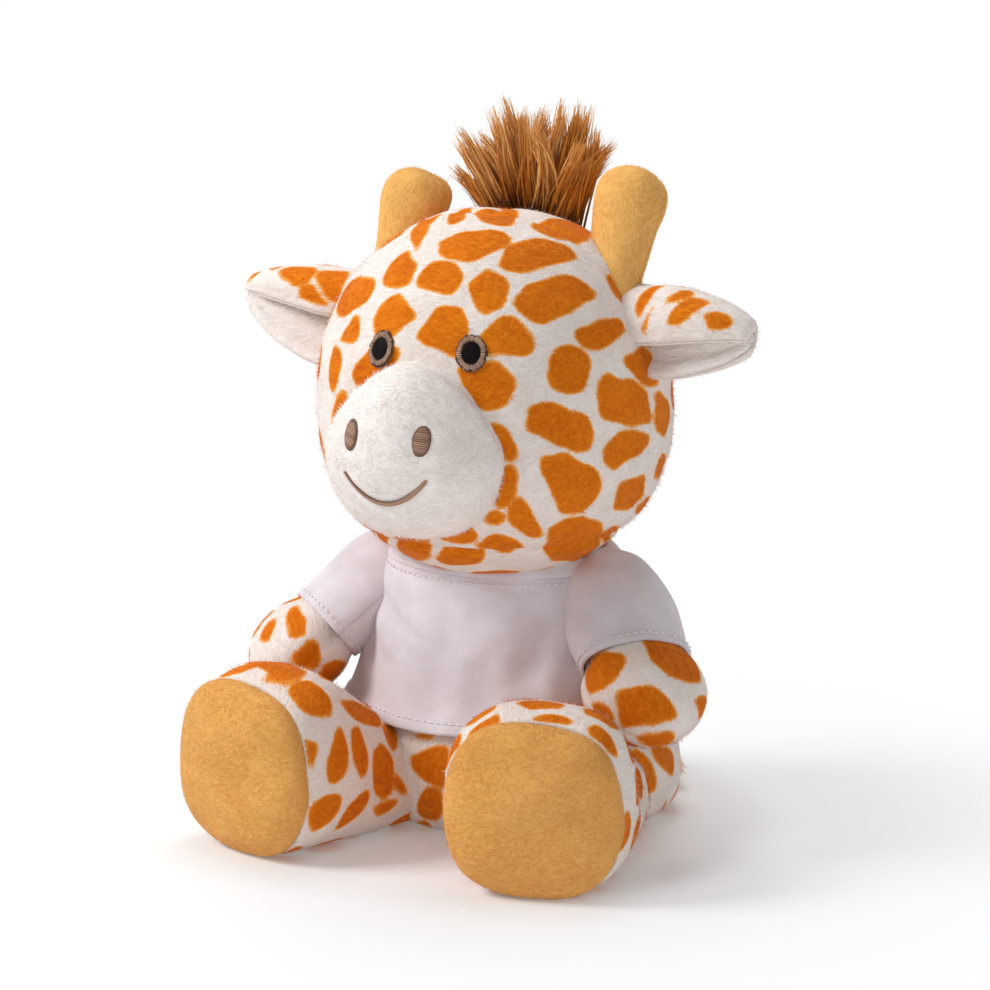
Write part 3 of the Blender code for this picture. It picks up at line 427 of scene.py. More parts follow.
def printed_plush(name, way):
    finish = Finish(name, Roughness=0.95, Sheen_Weight=0.07, Sheen_Roughness=0.3, Specular_IOR_Level=0.12)
    streaks, tips, tone = pile_streaks(finish, way, 0.08)
    inside = finish.number("spot") + (streaks - 0.5) * 1.3 + (tips - 0.5) * 0.6
    mask = finish.range(inside, -0.28, 0.28)
    ground = finish.mix(tone, PLUSH_SHADE, PLUSH_WHITE)
    patch = finish.mix(tone, PRINT_DARK, PRINT_MIDDLE)
    patch = finish.mix(finish.range(inside, 0.05, 0.85), PRINT_EDGE, patch)
    return finish.done(finish.mix(mask, ground, patch), streaks * 0.6 + tips * 0.4, 0.8)


head_plush = printed_plush("printed_plush_head", (1.0, 0.1, 0.25))
body_plush = printed_plush("printed_plush_body", (0.2, 0.1, 1.0))
arm_plush = printed_plush("printed_plush_arms", (0.5, -0.5, -0.6))
leg_plush = printed_plush("printed_plush_legs", (0.25, -0.95, 0.1))
ear_plush = printed_plush("printed_plush_ears", (1.0, 0.0, 0.2))
white_plush = plush("white_plush", colour(248, 242, 238), colour(236, 224, 217), (1.0, 0.2, 0.1))
tan_plush = plush("tan_plush", colour(240, 182, 104), colour(218, 150, 74), (1.0, 0.0, 0.25), 2.6, 1.5)
# The horns' tan is a lighter copy of the soles' tan plush, standing in for the light that falls on them from above:
# painted light.
horn_plush = plush("tan_plush_horns", colour(252, 200, 118), colour(232, 168, 88), (0.1, 0.5, 1.0), 2.2, 1.6)

# %% [markdown]
# ## Cotton, thread and long hair
# The T-shirt is fine jersey: rows of tiny loops that only show as a faint grid. The embroidery is thread laid side by
# side; its colour is painted darker where it lies low, as painted shade. The hair is coarse fibre, painted near black
# at its root, where the tuft shades itself, and tan at its tips, which are lighter where they catch the light, as
# painted highlight.

# %% Jersey, thread and fibre finishes


def jersey(name):
    finish = Finish(name, Roughness=0.85, Sheen_Weight=0.15, Sheen_Roughness=0.5)
    here = finish.place()
    ribs = (finish.number("turn") * (math.tau / 0.00075)).sine()
    rows = (finish.number("along") * (math.tau / 0.00075)).sine()
    cloudy = finish.noise(here, 0.12, 3.0)
    fuzz = finish.noise(here, 3.0, 2.0)
    tone = finish.range(cloudy * 0.6 + fuzz * 0.3 + rows * 0.012 + ribs * 0.012, 0.3, 0.75)
    base = finish.mix(tone, colour(214, 206, 212), colour(233, 228, 233))
    return finish.done(base, rows * 0.10 + ribs * 0.10 + fuzz * 0.9, 0.12)


def thread(name, light, dark, gloss=0.25):
    finish = Finish(name, Roughness=0.6, Specular_IOR_Level=gloss)
    fine = finish.noise(finish.place(), 3.5, 2.0)
    # The colour follows the thread's height, dark where it lies low and light on top: painted shade in the grooves and
    # at the edges.
    height = finish.number("height")
    base = finish.mix(finish.range(fine * 0.3 + height, 0.2, 1.0), dark, light)
    return finish.done(base, fine, 0.08)


def long_fibre(name, root, middle, tip):
    finish = Finish(name, Roughness=0.7, Specular_IOR_Level=0.12)
    along = finish.number("along")
    tone = finish.noise(finish.place(), 0.9, 2.0)
    # Painted shade and painted highlight: near black at the root end, where the tuft shades itself, and light at the
    # tips, where they catch the light. Noise and each strand's own tone vary it at random.
    base = finish.mix(finish.range(along + (tone - 0.5) * 0.4, 0.08, 0.62), root, middle)
    own = finish.number("turn")
    base = finish.mix(finish.range(along * 0.7 + (tone - 0.5) * 0.4 + own * 0.6, 0.55, 1.15), base, tip)
    finish.done(base, tone, 0.1)
    finish.thin(middle, 0.22)
    return finish.material


def stuffing_fibre(name, light, dark, scale):
    finish = Finish(name, Roughness=0.9)
    fluff = finish.noise(finish.place(), scale, 4.0, 0.65)
    return finish.done(finish.mix(fluff, dark, light), fluff, 1.0)


cotton = jersey("cotton_jersey")
ring_thread = thread("brown_thread", colour(206, 172, 148), colour(78, 50, 38))
mouth_thread = thread("mouth_thread", colour(188, 150, 126), colour(92, 64, 52))
pupil_thread = thread("black_thread", colour(26, 16, 13), colour(5, 4, 4), 0.10)
hair_fibre = long_fibre("brown_pile", colour(58, 26, 6), colour(204, 128, 44), colour(238, 186, 116))
tail_fibre = long_fibre("pale_pile", colour(214, 140, 76), colour(240, 178, 124), colour(250, 212, 172))
stitch_thread = thread("white_thread", colour(250, 247, 248), colour(240, 235, 238))
fibre = stuffing_fibre("fibre", colour(242, 242, 240), colour(205, 205, 202), 0.25)
bean_cloth = stuffing_fibre("bean_cloth", colour(228, 224, 212), colour(190, 184, 170), 0.6)
for node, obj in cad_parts.items():
    if node.endswith("_stuffing") or node == "seat_bean_bag":
        obj.material_slots[0].material = bean_cloth if node == "seat_bean_bag" else fibre

# %% [markdown]
# ## The print
# The cloth is printed before it is cut, so patches of all sizes lie close together with thin pale channels between
# them. Each patch is a small rounded polygon given by its corners on the surface, and its distance field is kept as a
# number per point, so that its edge stays sharp and can be made ragged in the finish. Most corners are the outlines of
# orange regions, found in the photograph by their colour, cut down to about seven corners each and cast on the covers.
# Some were read off it. Where it shows nothing, patches are dealt out with a fixed seed into the room left.

# %% Patches as distances


def inside_patch(points, corners, out, rounding):
    """How far inside a patch each point lies, in mm, for the points near it. Corners lie on the surface."""
    corners = np.asarray(corners, float)
    middle = corners.mean(axis=0)
    across = unit(corners[0] - middle - out * ((corners[0] - middle) @ out))
    up = np.cross(out, across)
    flat = np.column_stack([(points - middle) @ across, (points - middle) @ up])
    shape = np.column_stack([(corners - middle) @ across, (corners - middle) @ up])
    if np.cross(shape[1] - shape[0], shape[2] - shape[1]) < 0.0:
        shape = shape[::-1]
    sides = []
    for one, two in zip(shape, np.roll(shape, -1, axis=0)):
        edge = unit(two - one)
        inward = np.array((-edge[1], edge[0]))
        sides.append((flat - one) @ inward)
    sides = np.array(sides)
    soft = -rounding * np.log(np.exp(-np.clip(sides / rounding, -30.0, 30.0)).sum(axis=0))
    off = np.abs((points - middle) @ out)
    return np.where(off < 0.6 * np.abs(shape).max() + 0.004, soft + rounding * 0.7, -1.0)


def corner_places(surface, corners, turn_unit, along_unit):
    """Points of a surface at corners given in its own two measures: degrees and mm, or shares on an ear."""
    in_degrees = turn_unit > 0.011
    places = []
    for turn, along in corners:
        gap = surface.turn - turn * turn_unit
        if in_degrees:
            gap = (gap + math.pi) % math.tau - math.pi
        gap = np.hypot(gap * 0.03, (surface.along - along * along_unit) * (1.0 if in_degrees else 0.03))
        near = np.argsort(gap)[:4]
        weights = 1.0 / (gap[near] + 0.00002)
        places.append((surface.points[near] * weights[:, None]).sum(axis=0) / weights.sum())
    return np.array(places)


SHOWN_FROM = unit((0.435, -0.873, 0.220))


def spot_field(
    surface, seed, measured=(), spacing=0.0125, channel=0.0026, units=(math.radians(1.0), 0.001), rounding=0.0009,
):
    """The print on a piece, in mm inside a patch: the measured patches first, then others in the free room."""
    points = surface.points
    out = directions_out(surface)
    chance = np.random.default_rng(seed)
    warp = np.column_stack([lumps(points, 0.011, seed + k, 5) for k in range(3)]) * 0.0006
    bent = points + warp
    best = np.full(len(points), -1.0)
    for corners in measured:
        places = corner_places(surface, corners, *units)
        nearest = np.linalg.norm(points - places.mean(axis=0), axis=1).argmin()
        best = np.maximum(best, inside_patch(bent, places, out[nearest], rounding))
    shown = out @ SHOWN_FROM > 0.10
    seeds = []
    for index in chance.permutation(len(points)):
        if -best[index] < (0.0105 if shown[index] and len(measured) else 0.36 * spacing):
            continue
        room = spacing * chance.uniform(0.86, 1.2)
        if seeds and np.linalg.norm(points[seeds] - points[index], axis=1).min() < room:
            continue
        seeds.append(index)
    if len(seeds) > 1:
        squeeze = np.array((1.0, 1.0, 1.2))
        far = np.linalg.norm((bent[:, None, :] - points[seeds][None, :, :]) * squeeze, axis=2)
        far = np.sort(far, axis=1)[:, :7]
        gaps = (far[:, 1:] - far[:, :1]) / 2
        cell = -0.0008 * np.log(np.exp(-np.clip(gaps / 0.0008, 0.0, 30.0)).sum(axis=1)) + 0.0003 - channel / 2
        cell = np.minimum(cell, spacing * 0.62 - far[:, 0])
        best = np.maximum(best, np.minimum(cell, -best - channel))
    return np.clip(best * 1000.0, -6.0, 6.0)


print("the print is ready")

# %% [markdown]
# ## The head
# The head is a ball that gets fuller towards its jaw. It is sewn from a face panel and two back panels, so a seam runs
# over the crown from ear to ear, another down the back, and one round the neck. The muzzle's own seam pulls it in too.

# %% Head cover
MUZZLE_HALF_SIZES = np.array((0.0245, 0.0200, 0.0235))
MUZZLE_CENTRE = HEAD_CENTRE + (0.0, -0.0460, -0.0095)
CROWN_SEAM_Y = -0.0030


def head_reach(angle):
    share = np.clip((np.degrees(angle) - 90.0) / (JAW_FULL_ANGLE_DEG - 90.0), 0.0, 1.0)
    return HEAD_RADIUS + (JAW_RADIUS - HEAD_RADIUS) * (share + eased(share)) / 2


hole_angle = math.pi - math.asin(HEAD_HOLE_RADIUS / JAW_RADIUS)
angles = np.linspace(0.0, hole_angle, 140)
outline = np.column_stack([head_reach(angles) * np.sin(angles), head_reach(angles) * np.cos(angles)])
head = turned(outline, 260)
local = head.points.copy()
crown = crease(np.abs(local[:, 1] - CROWN_SEAM_Y + 0.10 * np.minimum(local[:, 2], 0.0)), 0.0016, 0.0009)
crown *= (local[:, 2] > -0.042)
back = crease(np.abs(local[:, 0]), 0.0014, 0.0008) * (local[:, 1] > CROWN_SEAM_Y)
polar = np.degrees(np.arctan2(np.hypot(local[:, 0], local[:, 1]), local[:, 2]))
neck_seam = crease((polar - 137.5) * 0.0009, 0.0015, 0.0014)
to_muzzle = (local - (MUZZLE_CENTRE - HEAD_CENTRE)) / MUZZLE_HALF_SIZES
muzzle_gap = (np.linalg.norm(to_muzzle, axis=1) - 1.0) * 0.022
muzzle_dip = crease(muzzle_gap, 0.0028, 0.0010)
dips = crown + back + neck_seam + muzzle_dip
head = moved_out(head, dips + lumps(local, 0.040, 3) * 0.0005 + lumps(local, 0.009, 4) * 0.00012)
head.points += HEAD_CENTRE
HEAD_PATCHES = (
    ((-128, 15), (-172, 12), (-179, 10), (174, 8), (-105, 13), (-109, 16), (-115, 17)),
    ((-160, 5), (136, 2), (63, 6), (-32, 11), (-50, 16), (-62, 16), (-82, 12)),
    ((-137, 25), (-179, 20), (-178, 16), (-179, 15), (-111, 29), (-112, 30), (-119, 28)),
    ((-102, 26), (-94, 19), (-54, 20), (-53, 24), (-67, 29), (-80, 32), (-96, 30)),
    ((-54, 24), (-27, 24), (-18, 27), (-18, 33), (-49, 35), (-56, 35), (-62, 33)),
    ((-121, 38), (-124, 32), (-120, 30), (-106, 33), (-103, 40), (-111, 42), (-120, 40)),
    ((-100, 36), (-97, 33), (-85, 32), (-77, 38), (-81, 42), (-93, 42), (-98, 41)),
    ((-74, 39), (-67, 34), (-60, 36), (-58, 43), (-62, 47), (-67, 48), (-71, 46)),
    ((-139, 54), (-146, 51), (-146, 45), (-134, 41), (-121, 43), (-121, 48), (-133, 54)),
    ((-52, 40), (-40, 37), (-25, 38), (-19, 44), (-45, 51), (-50, 51), (-56, 44)),
    ((-113, 52), (-111, 46), (-107, 43), (-99, 45), (-94, 49), (-102, 56), (-108, 56)),
    ((-92, 55), (-84, 45), (-76, 46), (-73, 54), (-75, 59), (-80, 59), (-90, 56)),
    ((-3, 54), (9, 52), (13, 53), (12, 58), (-1, 61), (-2, 60), (-4, 57)),
    ((-69, 54), (-63, 49), (-60, 48), (-55, 49), (-49, 56), (-52, 59), (-68, 59)),
    ((-128, 59), (-128, 57), (-124, 52), (-120, 52), (-117, 57), (-118, 59), (-127, 60)),
    ((-34, 53), (-27, 51), (-12, 52), (-12, 55), (-26, 59), (-30, 59), (-35, 55)),
    ((-46, 60), (-41, 56), (-31, 59), (-30, 61), (-35, 69), (-43, 69), (-47, 66)),
    ((-116, 67), (-114, 63), (-109, 58), (-98, 58), (-98, 63), (-110, 71), (-114, 71)),
    ((-18, 63), (-11, 61), (-1, 61), (1, 71), (-1, 72), (-10, 70), (-16, 66)),
    ((-131, 64), (-131, 61), (-125, 62), (-123, 64), (-122, 68), (-126, 74), (-128, 73)),
    ((-75, 61), (-68, 60), (-61, 61), (-57, 66), (-60, 72), (-69, 73), (-74, 67)),
    ((-30, 69), (-25, 65), (-9, 71), (-2, 81), (-10, 81), (-23, 79), (-28, 76)),
    ((-1, 82), (-1, 73), (3, 74), (11, 77), (13, 82), (9, 86), (1, 85)),
    ((-126, 77), (-124, 74), (-120, 72), (-117, 74), (-117, 75), (-121, 79), (-126, 82)),
    ((-54, 72), (-43, 72), (-34, 76), (-31, 79), (-31, 84), (-39, 85), (-54, 78)),
    ((-65, 76), (-59, 79), (-57, 82), (-56, 85), (-59, 87), (-61, 86), (-66, 77)),
    ((-27, 85), (-16, 81), (-4, 85), (-5, 87), (-19, 91), (-23, 92), (-27, 88)),
    ((-49, 85), (-39, 86), (-28, 92), (-27, 99), (-34, 103), (-41, 103), (-50, 86)),
    ((5, 92), (8, 91), (14, 93), (13, 99), (5, 98)),
    ((-65, 97), (-63, 89), (-58, 87), (-56, 92), (-58, 99), (-63, 100)),
    ((-19, 100), (-19, 96), (-9, 95), (-1, 97), (1, 105), (-10, 106), (-16, 105)),
    ((-58, 97), (-56, 96), (-52, 99), (-46, 109), (-49, 111), (-55, 108), (-60, 104)),
    ((2, 109), (1, 107), (5, 104), (15, 106), (14, 108), (10, 110), (5, 110)),
    ((-68, 103), (-67, 102), (-64, 100), (-63, 100), (-60, 103), (-62, 105), (-67, 105)),
    ((-42, 118), (-44, 107), (-32, 104), (-18, 110), (-5, 122), (-3, 128), (-33, 124)),
    ((-89, 109), (-80, 105), (-72, 106), (-70, 110), (-75, 113), (-87, 112)),
    ((-14, 115), (-11, 111), (10, 116), (12, 121), (7, 122), (9, 124)),
    ((-28, 16), (-3, 15), (38, 21), (35, 24), (27, 27), (-2, 28), (-19, 25), (-28, 20)),
    ((-7, 39), (1, 40), (7, 45), (-1, 50), (-3, 50), (-9, 46)),
    ((-108, 112), (-98, 111), (-90, 112), (-98, 123), (-135, 132), (-117, 121)),
    ((-94, 122), (-82, 115), (-68, 117), (-70, 123), (-82, 126), (-94, 126)),
    ((-72, 113), (-63, 108), (-56, 111), (-51, 115), (-56, 119), (-68, 116)),
)
head_cover = piece("head_plush_cover", head, head_plush, "head", ["head_cover"])
kept(head_cover, "spot", spot_field(head, 11, HEAD_PATCHES))

# %% [markdown]
# ## The muzzle
# The muzzle is one round white panel, sewn on over its own pad of stuffing. It is narrower towards the eyes, and its
# rim is pulled tight to the face. The nostrils and the smile are stitched through it and sink in a little.

# %% Muzzle cover
SMILE_HALF_WIDTH = 0.0121
SMILE_LOW = 0.0110
SMILE_CURVE = 0.0075
NOSTRIL_OUT = 0.0103
NOSTRIL_RISE = 0.0063


def muzzle_width(rise):
    """Half the muzzle's width at a rise: it is narrower towards the eyes."""
    share = rise / MUZZLE_HALF_SIZES[2]
    return MUZZLE_HALF_SIZES[0] * (1.0 - 0.22 * np.maximum(share, 0.0) + 0.06 * np.maximum(-share, 0.0))


def muzzle_front(x, rise):
    """A point on the muzzle's front, and the way out there."""
    width, length, height = MUZZLE_HALF_SIZES
    depth = -length * np.sqrt(np.maximum(1.0 - (x / muzzle_width(rise)) ** 2 - (rise / height) ** 2, 0.0))
    point = np.stack(np.broadcast_arrays(x, depth, rise), axis=-1)
    away = unit(point / MUZZLE_HALF_SIZES**2)
    return MUZZLE_CENTRE + point, away


angles = np.linspace(0.0, math.pi, 84)
muzzle = turned(np.column_stack([np.sin(angles), np.cos(angles)]), 150)
ball = muzzle.points.copy()
muzzle.points = ball[:, (0, 2, 1)] * (1.0, -1.0, 1.0) * MUZZLE_HALF_SIZES
muzzle.points[:, 0] *= muzzle_width(muzzle.points[:, 2]) / MUZZLE_HALF_SIZES[0]
muzzle.points += MUZZLE_CENTRE
to_head = np.linalg.norm(muzzle.points - HEAD_CENTRE, axis=1) - HEAD_RADIUS
smile_x = np.linspace(-SMILE_HALF_WIDTH, SMILE_HALF_WIDTH, 60)
smile_line = muzzle_front(smile_x, SMILE_CURVE * (smile_x / SMILE_HALF_WIDTH) ** 2 - SMILE_LOW)[0]
dips = crease(distance_to(muzzle.points, smile_line), 0.0016, 0.0005)
for side in SIDES.values():
    spot, away = muzzle_front(np.array(side * NOSTRIL_OUT), np.array(NOSTRIL_RISE))
    dips += crease(np.linalg.norm((muzzle.points - spot) * (1.0, 1.0, 0.62), axis=1), 0.0032, 0.0006)
dips = dips + crease(to_head - 0.001, 0.0018, 0.0007)
muzzle = moved_out(muzzle, dips + lumps(ball, 0.9, 8) * 0.0004 + lumps(ball, 0.22, 9) * 0.00012)
muzzle.along = muzzle.along * 0.02
muzzle_cover = piece("muzzle_plush_cover", muzzle, white_plush, "head", ["muzzle_cover"])

# %% [markdown]
# ## The embroidered face
# Satin stitch lays thread side by side, so a ring shows as a row of small ridges that run outwards, and a pad as
# ridges from side to side. The ridges are real here, because they catch the light at this size. The thread's colour
# is also painted darker where it lies low, between the ridges and at the edges: painted shade.

# %% Eyes
EYE_AT = {"L": (0.0144, 0.0168), "R": (-0.0114, 0.0160)}
EYE_HALF_SIZES = (0.0041, 0.0049)
PUPIL_SHARE = 0.62
RING_STARTS_AT = PUPIL_SHARE * 0.95


def eye_frame(name):
    """An eye's middle on the head, and its directions across, up and out."""
    out_x, rise = EYE_AT[name]
    point = np.array((out_x, -math.sqrt(HEAD_RADIUS**2 - out_x**2 - rise**2), rise))
    out = unit(point)
    across = unit(np.cross((0.0, 0.0, 1.0), out))
    return HEAD_CENTRE + point, across, np.cross(out, across), out


def on_head(points):
    """Lays flat points on the ball of the head."""
    flat = points - HEAD_CENTRE
    return HEAD_CENTRE + unit(flat) * HEAD_RADIUS


def oval(name, reach, turns):
    """Flat points round an eye's middle, at a share of its half sizes."""
    middle, across, up, _ = eye_frame(name)
    flat = middle + np.outer(EYE_HALF_SIZES[0] * reach * np.cos(turns), across)
    flat += np.outer(EYE_HALF_SIZES[1] * reach * np.sin(turns), up)
    return flat


def stitched(name, rows, heights, look, node):
    """A pad of thread on the head, with the thread's height kept for its finish, which paints the low parts darker as
    shade.
    """
    obj = piece(name, grid(rows), look, "head", [node])
    kept(obj, "height", np.array(heights).ravel())


STITCH_COUNT = 44
uneven = np.random.default_rng(17)
for name in SIDES:
    middle, _, up, out = eye_frame(name)
    rows, heights = [], []
    turns = np.linspace(0.0, math.tau, 529)
    stitch = np.floor(turns / math.tau * STITCH_COUNT).astype(int) % STITCH_COUNT
    jut, tone, start, stop = (
        uneven.uniform(low, high, STITCH_COUNT)[stitch]
        for low, high in ((-0.03, 0.07), (0.5, 1.0), (-0.02, 0.14), (0.62, 0.84))
    )
    for share in np.linspace(0.0, 1.0, 15):
        reach = RING_STARTS_AT + (1.0 - RING_STARTS_AT) * share
        ridge = 0.5 + 0.5 * np.cos(turns * STITCH_COUNT + share)
        lift = math.sin(math.pi * min(1.0, 0.12 + share * 0.9)) ** 0.6
        ragged = reach + (jut if share > 0.85 else 0.0)
        base = on_head(oval(name, ragged, turns))
        rows.append(base + out * (0.0001 + lift * (0.00045 + 0.00022 * ridge[:, None])))
        # The thread's height, and with it its colour, drops between the ridges and towards the ring's inner and outer
        # edges: painted shade. Each stitch's tone is random.
        inner = np.clip((share - start) / 0.16, 0.0, 1.0)
        envelope = inner * (1.0 - np.clip((share - stop) / 0.18, 0.0, 1.0))
        heights.append((0.12 + 0.88 * ridge**0.7 * tone) * envelope)
    stitched("eye_stitched_ring_" + name, rows, heights, ring_thread, "eye_ring_" + name)
    rows, heights = [], []
    for share in np.linspace(0.02, 1.0, 14):
        reach = PUPIL_SHARE * share
        flat = oval(name, reach, turns)
        ridge = 0.5 + 0.5 * np.cos((flat - middle) @ up * math.tau / 0.00042)
        dome = math.sqrt(max(0.0, 1.0 - 0.9 * share**2))
        rows.append(on_head(flat) + out * (0.0001 + dome * 0.0005 + 0.00010 * ridge[:, None]))
        # Darker between the ridges: painted shade.
        heights.append(ridge * 0.6)
    stitched("pupil_stitched_" + name, rows, heights, pupil_thread, "pupil_" + name)

# %% Nostrils and smile
NOSTRIL_HALF_SIZES = (0.0023, 0.0040)
NOSTRIL_ROW = 0.00055
row_tones = uneven.uniform(0.35, 1.0, 64)
for name, side in SIDES.items():
    rows, heights = [], []
    turns = np.linspace(0.0, math.tau, 121)
    for share in np.linspace(0.02, 1.0, 26):
        x = side * NOSTRIL_OUT + NOSTRIL_HALF_SIZES[0] * share * np.cos(turns)
        rise = NOSTRIL_RISE + NOSTRIL_HALF_SIZES[1] * share * np.sin(turns)
        ridge = 0.5 + 0.5 * np.cos((rise + x * 0.15) * math.tau / NOSTRIL_ROW)
        dome = math.sqrt(max(0.0, 1.0 - 0.95 * share**2))
        point, away = muzzle_front(x, rise)
        rows.append(point + away * (-0.0004 + dome * 0.00065 + 0.00010 * ridge[:, None]))
        tone = row_tones[np.floor((rise + x * 0.15) / NOSTRIL_ROW + 32).astype(int) % 64]
        # Darker between the rows and towards the rim, where the thread sinks in: painted shade. The rows' tones are
        # random.
        heights.append((0.2 + 0.8 * ridge * tone) * (1.0 - 0.8 * share**5))
    stitched("nostril_stitched_" + name, rows, heights, mouth_thread, "nostril_" + name)

share = np.linspace(-1.0, 1.0, 561)
rows, heights = [], []
for across in np.linspace(-1.0, 1.0, 9):
    wide = 0.00076 * (0.72 + 0.28 * share) * np.sqrt(np.maximum(1.0 - np.abs(share) ** 50, 0.0))
    x = share * SMILE_HALF_WIDTH
    slope = 2.0 * SMILE_CURVE * share / SMILE_HALF_WIDTH
    lean = np.sqrt(1.0 + slope**2)
    rise = SMILE_CURVE * share**2 - SMILE_LOW + wide * across / lean
    x = x - wide * across * slope / lean
    ridge = 0.5 + 0.5 * np.cos(share * 160 + across * 0.9)
    dome = math.sqrt(max(0.0, 1.0 - across**2))
    point, away = muzzle_front(x, rise)
    rows.append(point + away * (-0.00045 + dome * (0.00065 + 0.00012 * ridge))[:, None])
    # Darker between the ridges and along the edges, where the thread sinks in: painted shade.
    heights.append((0.4 + 0.6 * ridge) * dome**0.7 * 0.9)
stitched("smile_stitched", rows, heights, mouth_thread, "smile")

# %% [markdown]
# ## Horns and ears
# A horn is a small tan mitten of plush, stuffed and caught in the crown's seam. An ear is two plies, printed outside and
# white inside, folded at its root so that its upper edge rolls forward over the lining.

# %% Horns
HORN_ROOT = np.array((0.0335, 0.0056, 0.0324))
HORN_POINTS_TO = np.array((-0.04, 0.49, 0.87))
HORN_LENGTH = {"L": 0.0296, "R": 0.0246}
HORN_INSET = {"L": 0.0002, "R": 0.0018}
HORN_RADIUS = 0.0098
HORN_FLATNESS_SHARE = 0.88
HORN_OUTLINE_SHARES = (
    (1.0, 0.0), (0.975, 0.42), (0.90, 0.76), (0.79, 0.96), (0.66, 1.0), (0.42, 0.92), (0.18, 0.81), (-0.45, 0.72),
)
for name, side in SIDES.items():
    stations = [(r * HORN_RADIUS, z * HORN_LENGTH[name]) for z, r in HORN_OUTLINE_SHARES]
    horn = turned(smooth_line(stations, 0.0007), 150)
    seam = crease(np.abs(horn.points[:, 1]), 0.0008, 0.0009)
    horn = moved_out(horn, seam + lumps(horn.points, 0.014, 21) * 0.0004)
    mirror = np.array((side, 1.0, 1.0))
    horn_root = HEAD_CENTRE + (HORN_ROOT - (HORN_INSET[name], 0.0, 0.0)) * mirror
    horn.points = pointing(horn_root, HORN_POINTS_TO * mirror, HORN_FLATNESS_SHARE)(horn.points)
    obj = piece("horn_plush_cover_" + name, horn, horn_plush, "head", ["horn_cover_" + name])

# %% Ears
EAR_ROOT_LOW = np.array((0.0455, 0.0015, 0.0075))
EAR_ROOT_HIGH = np.array((0.0375, 0.0080, 0.0295))
EAR_TIP = {"L": np.array((0.0750, 0.0013, 0.0182)), "R": np.array((0.0768, 0.0013, 0.0200))}
EAR_HALF_WIDTH = 0.0132
EAR_INSET = 0.0060
EAR_ROOT_CURL = np.array((
    (0.30, -1.24), (-0.10, -0.80), (-0.30, -0.15), (-0.25, 0.40), (0.0, 0.70), (0.42, 0.66), (0.76, 0.22), (0.74, -0.50),
))
EAR_TIP_CURL = np.array((
    (0.22, -1.04), (-0.15, -0.66), (-0.30, -0.05), (-0.25, 0.48), (0.0, 0.78), (0.38, 0.74), (0.70, 0.38), (0.74, -0.16),
))
EAR_WIDTH_SHARES = ((0.0, 0.92), (0.18, 0.98), (0.43, 1.0), (0.62, 0.88), (0.81, 0.66), (0.93, 0.40), (1.0, 0.16))
EAR_LOWER_SHARE = {"L": 0.87, "R": 1.22}
EAR_UPPER_SHARE = {"L": 0.97, "R": 0.70}
EAR_PRINT_ENDS_AT = (0.97, 0.93)
EAR_PATCHES_L = (
    ((65, 29), (66, 39), (79, 32), (88, 30), (83, 23), (74, 23)),
    ((70, 44), (80, 42), (92, 37), (98, 37), (93, 31), (83, 35), (73, 39)),
    ((67, 58), (71, 60), (76, 52), (81, 43), (76, 43), (69, 48)),
    ((73, 53), (71, 64), (74, 75), (82, 67), (90, 62), (89, 48), (82, 47), (77, 52)),
    ((79, 76), (78, 84), (84, 88), (91, 83), (91, 75), (84, 71)),
)
EAR_PATCHES_R = (
    ((79, 72), (74, 68), (75, 47), (77, 43), (87, 47), (89, 50), (87, 67)),
    ((77, 42), (73, 24), (77, 22), (91, 23), (91, 29), (86, 39), (80, 43)),
    ((88, 50), (86, 43), (89, 36), (94, 31), (98, 33), (98, 39), (93, 50)),
    ((69, 84), (69, 72), (78, 74), (77, 81)),
)
EAR_PATCHES = {"L": EAR_PATCHES_L, "R": EAR_PATCHES_R}


def ear_sheet(name):
    """The middle of an ear, between its plies, as rows of points from its root to its tip."""
    root = (EAR_ROOT_LOW + EAR_ROOT_HIGH) / 2
    along = unit(EAR_TIP[name] - root)
    up = EAR_ROOT_HIGH - EAR_ROOT_LOW
    up = unit(up - along * (up @ along))
    forward = np.cross(along, up)
    length = np.linalg.norm(EAR_TIP[name] - root)
    widths = smooth_line([(w, u) for u, w in EAR_WIDTH_SHARES], 0.01)
    rows = []
    for u in np.linspace(0.0, 1.0, 44):
        width = np.interp(u, widths[:, 1], widths[:, 0]) * EAR_HALF_WIDTH
        mixed = EAR_ROOT_CURL + (EAR_TIP_CURL - EAR_ROOT_CURL) * min(1.0, u * 1.1)
        mixed[:3, 1] *= EAR_LOWER_SHARE[name]
        mixed[3:7, 1] = np.maximum(mixed[3:7, 1], 0.0) * EAR_UPPER_SHARE[name] + np.minimum(mixed[3:7, 1], 0.0)
        curl = smooth_line(mixed + (2.0, 0.0), 0.0, 76) - (2.0, 0.0)
        rows.append(
            root + along * (u * (length + EAR_INSET) - EAR_INSET)
            + np.outer(curl[:, 0] * width, forward) + np.outer(curl[:, 1] * width, up)
        )
    sheet = grid(rows)
    sheet.points += HEAD_CENTRE
    return sheet


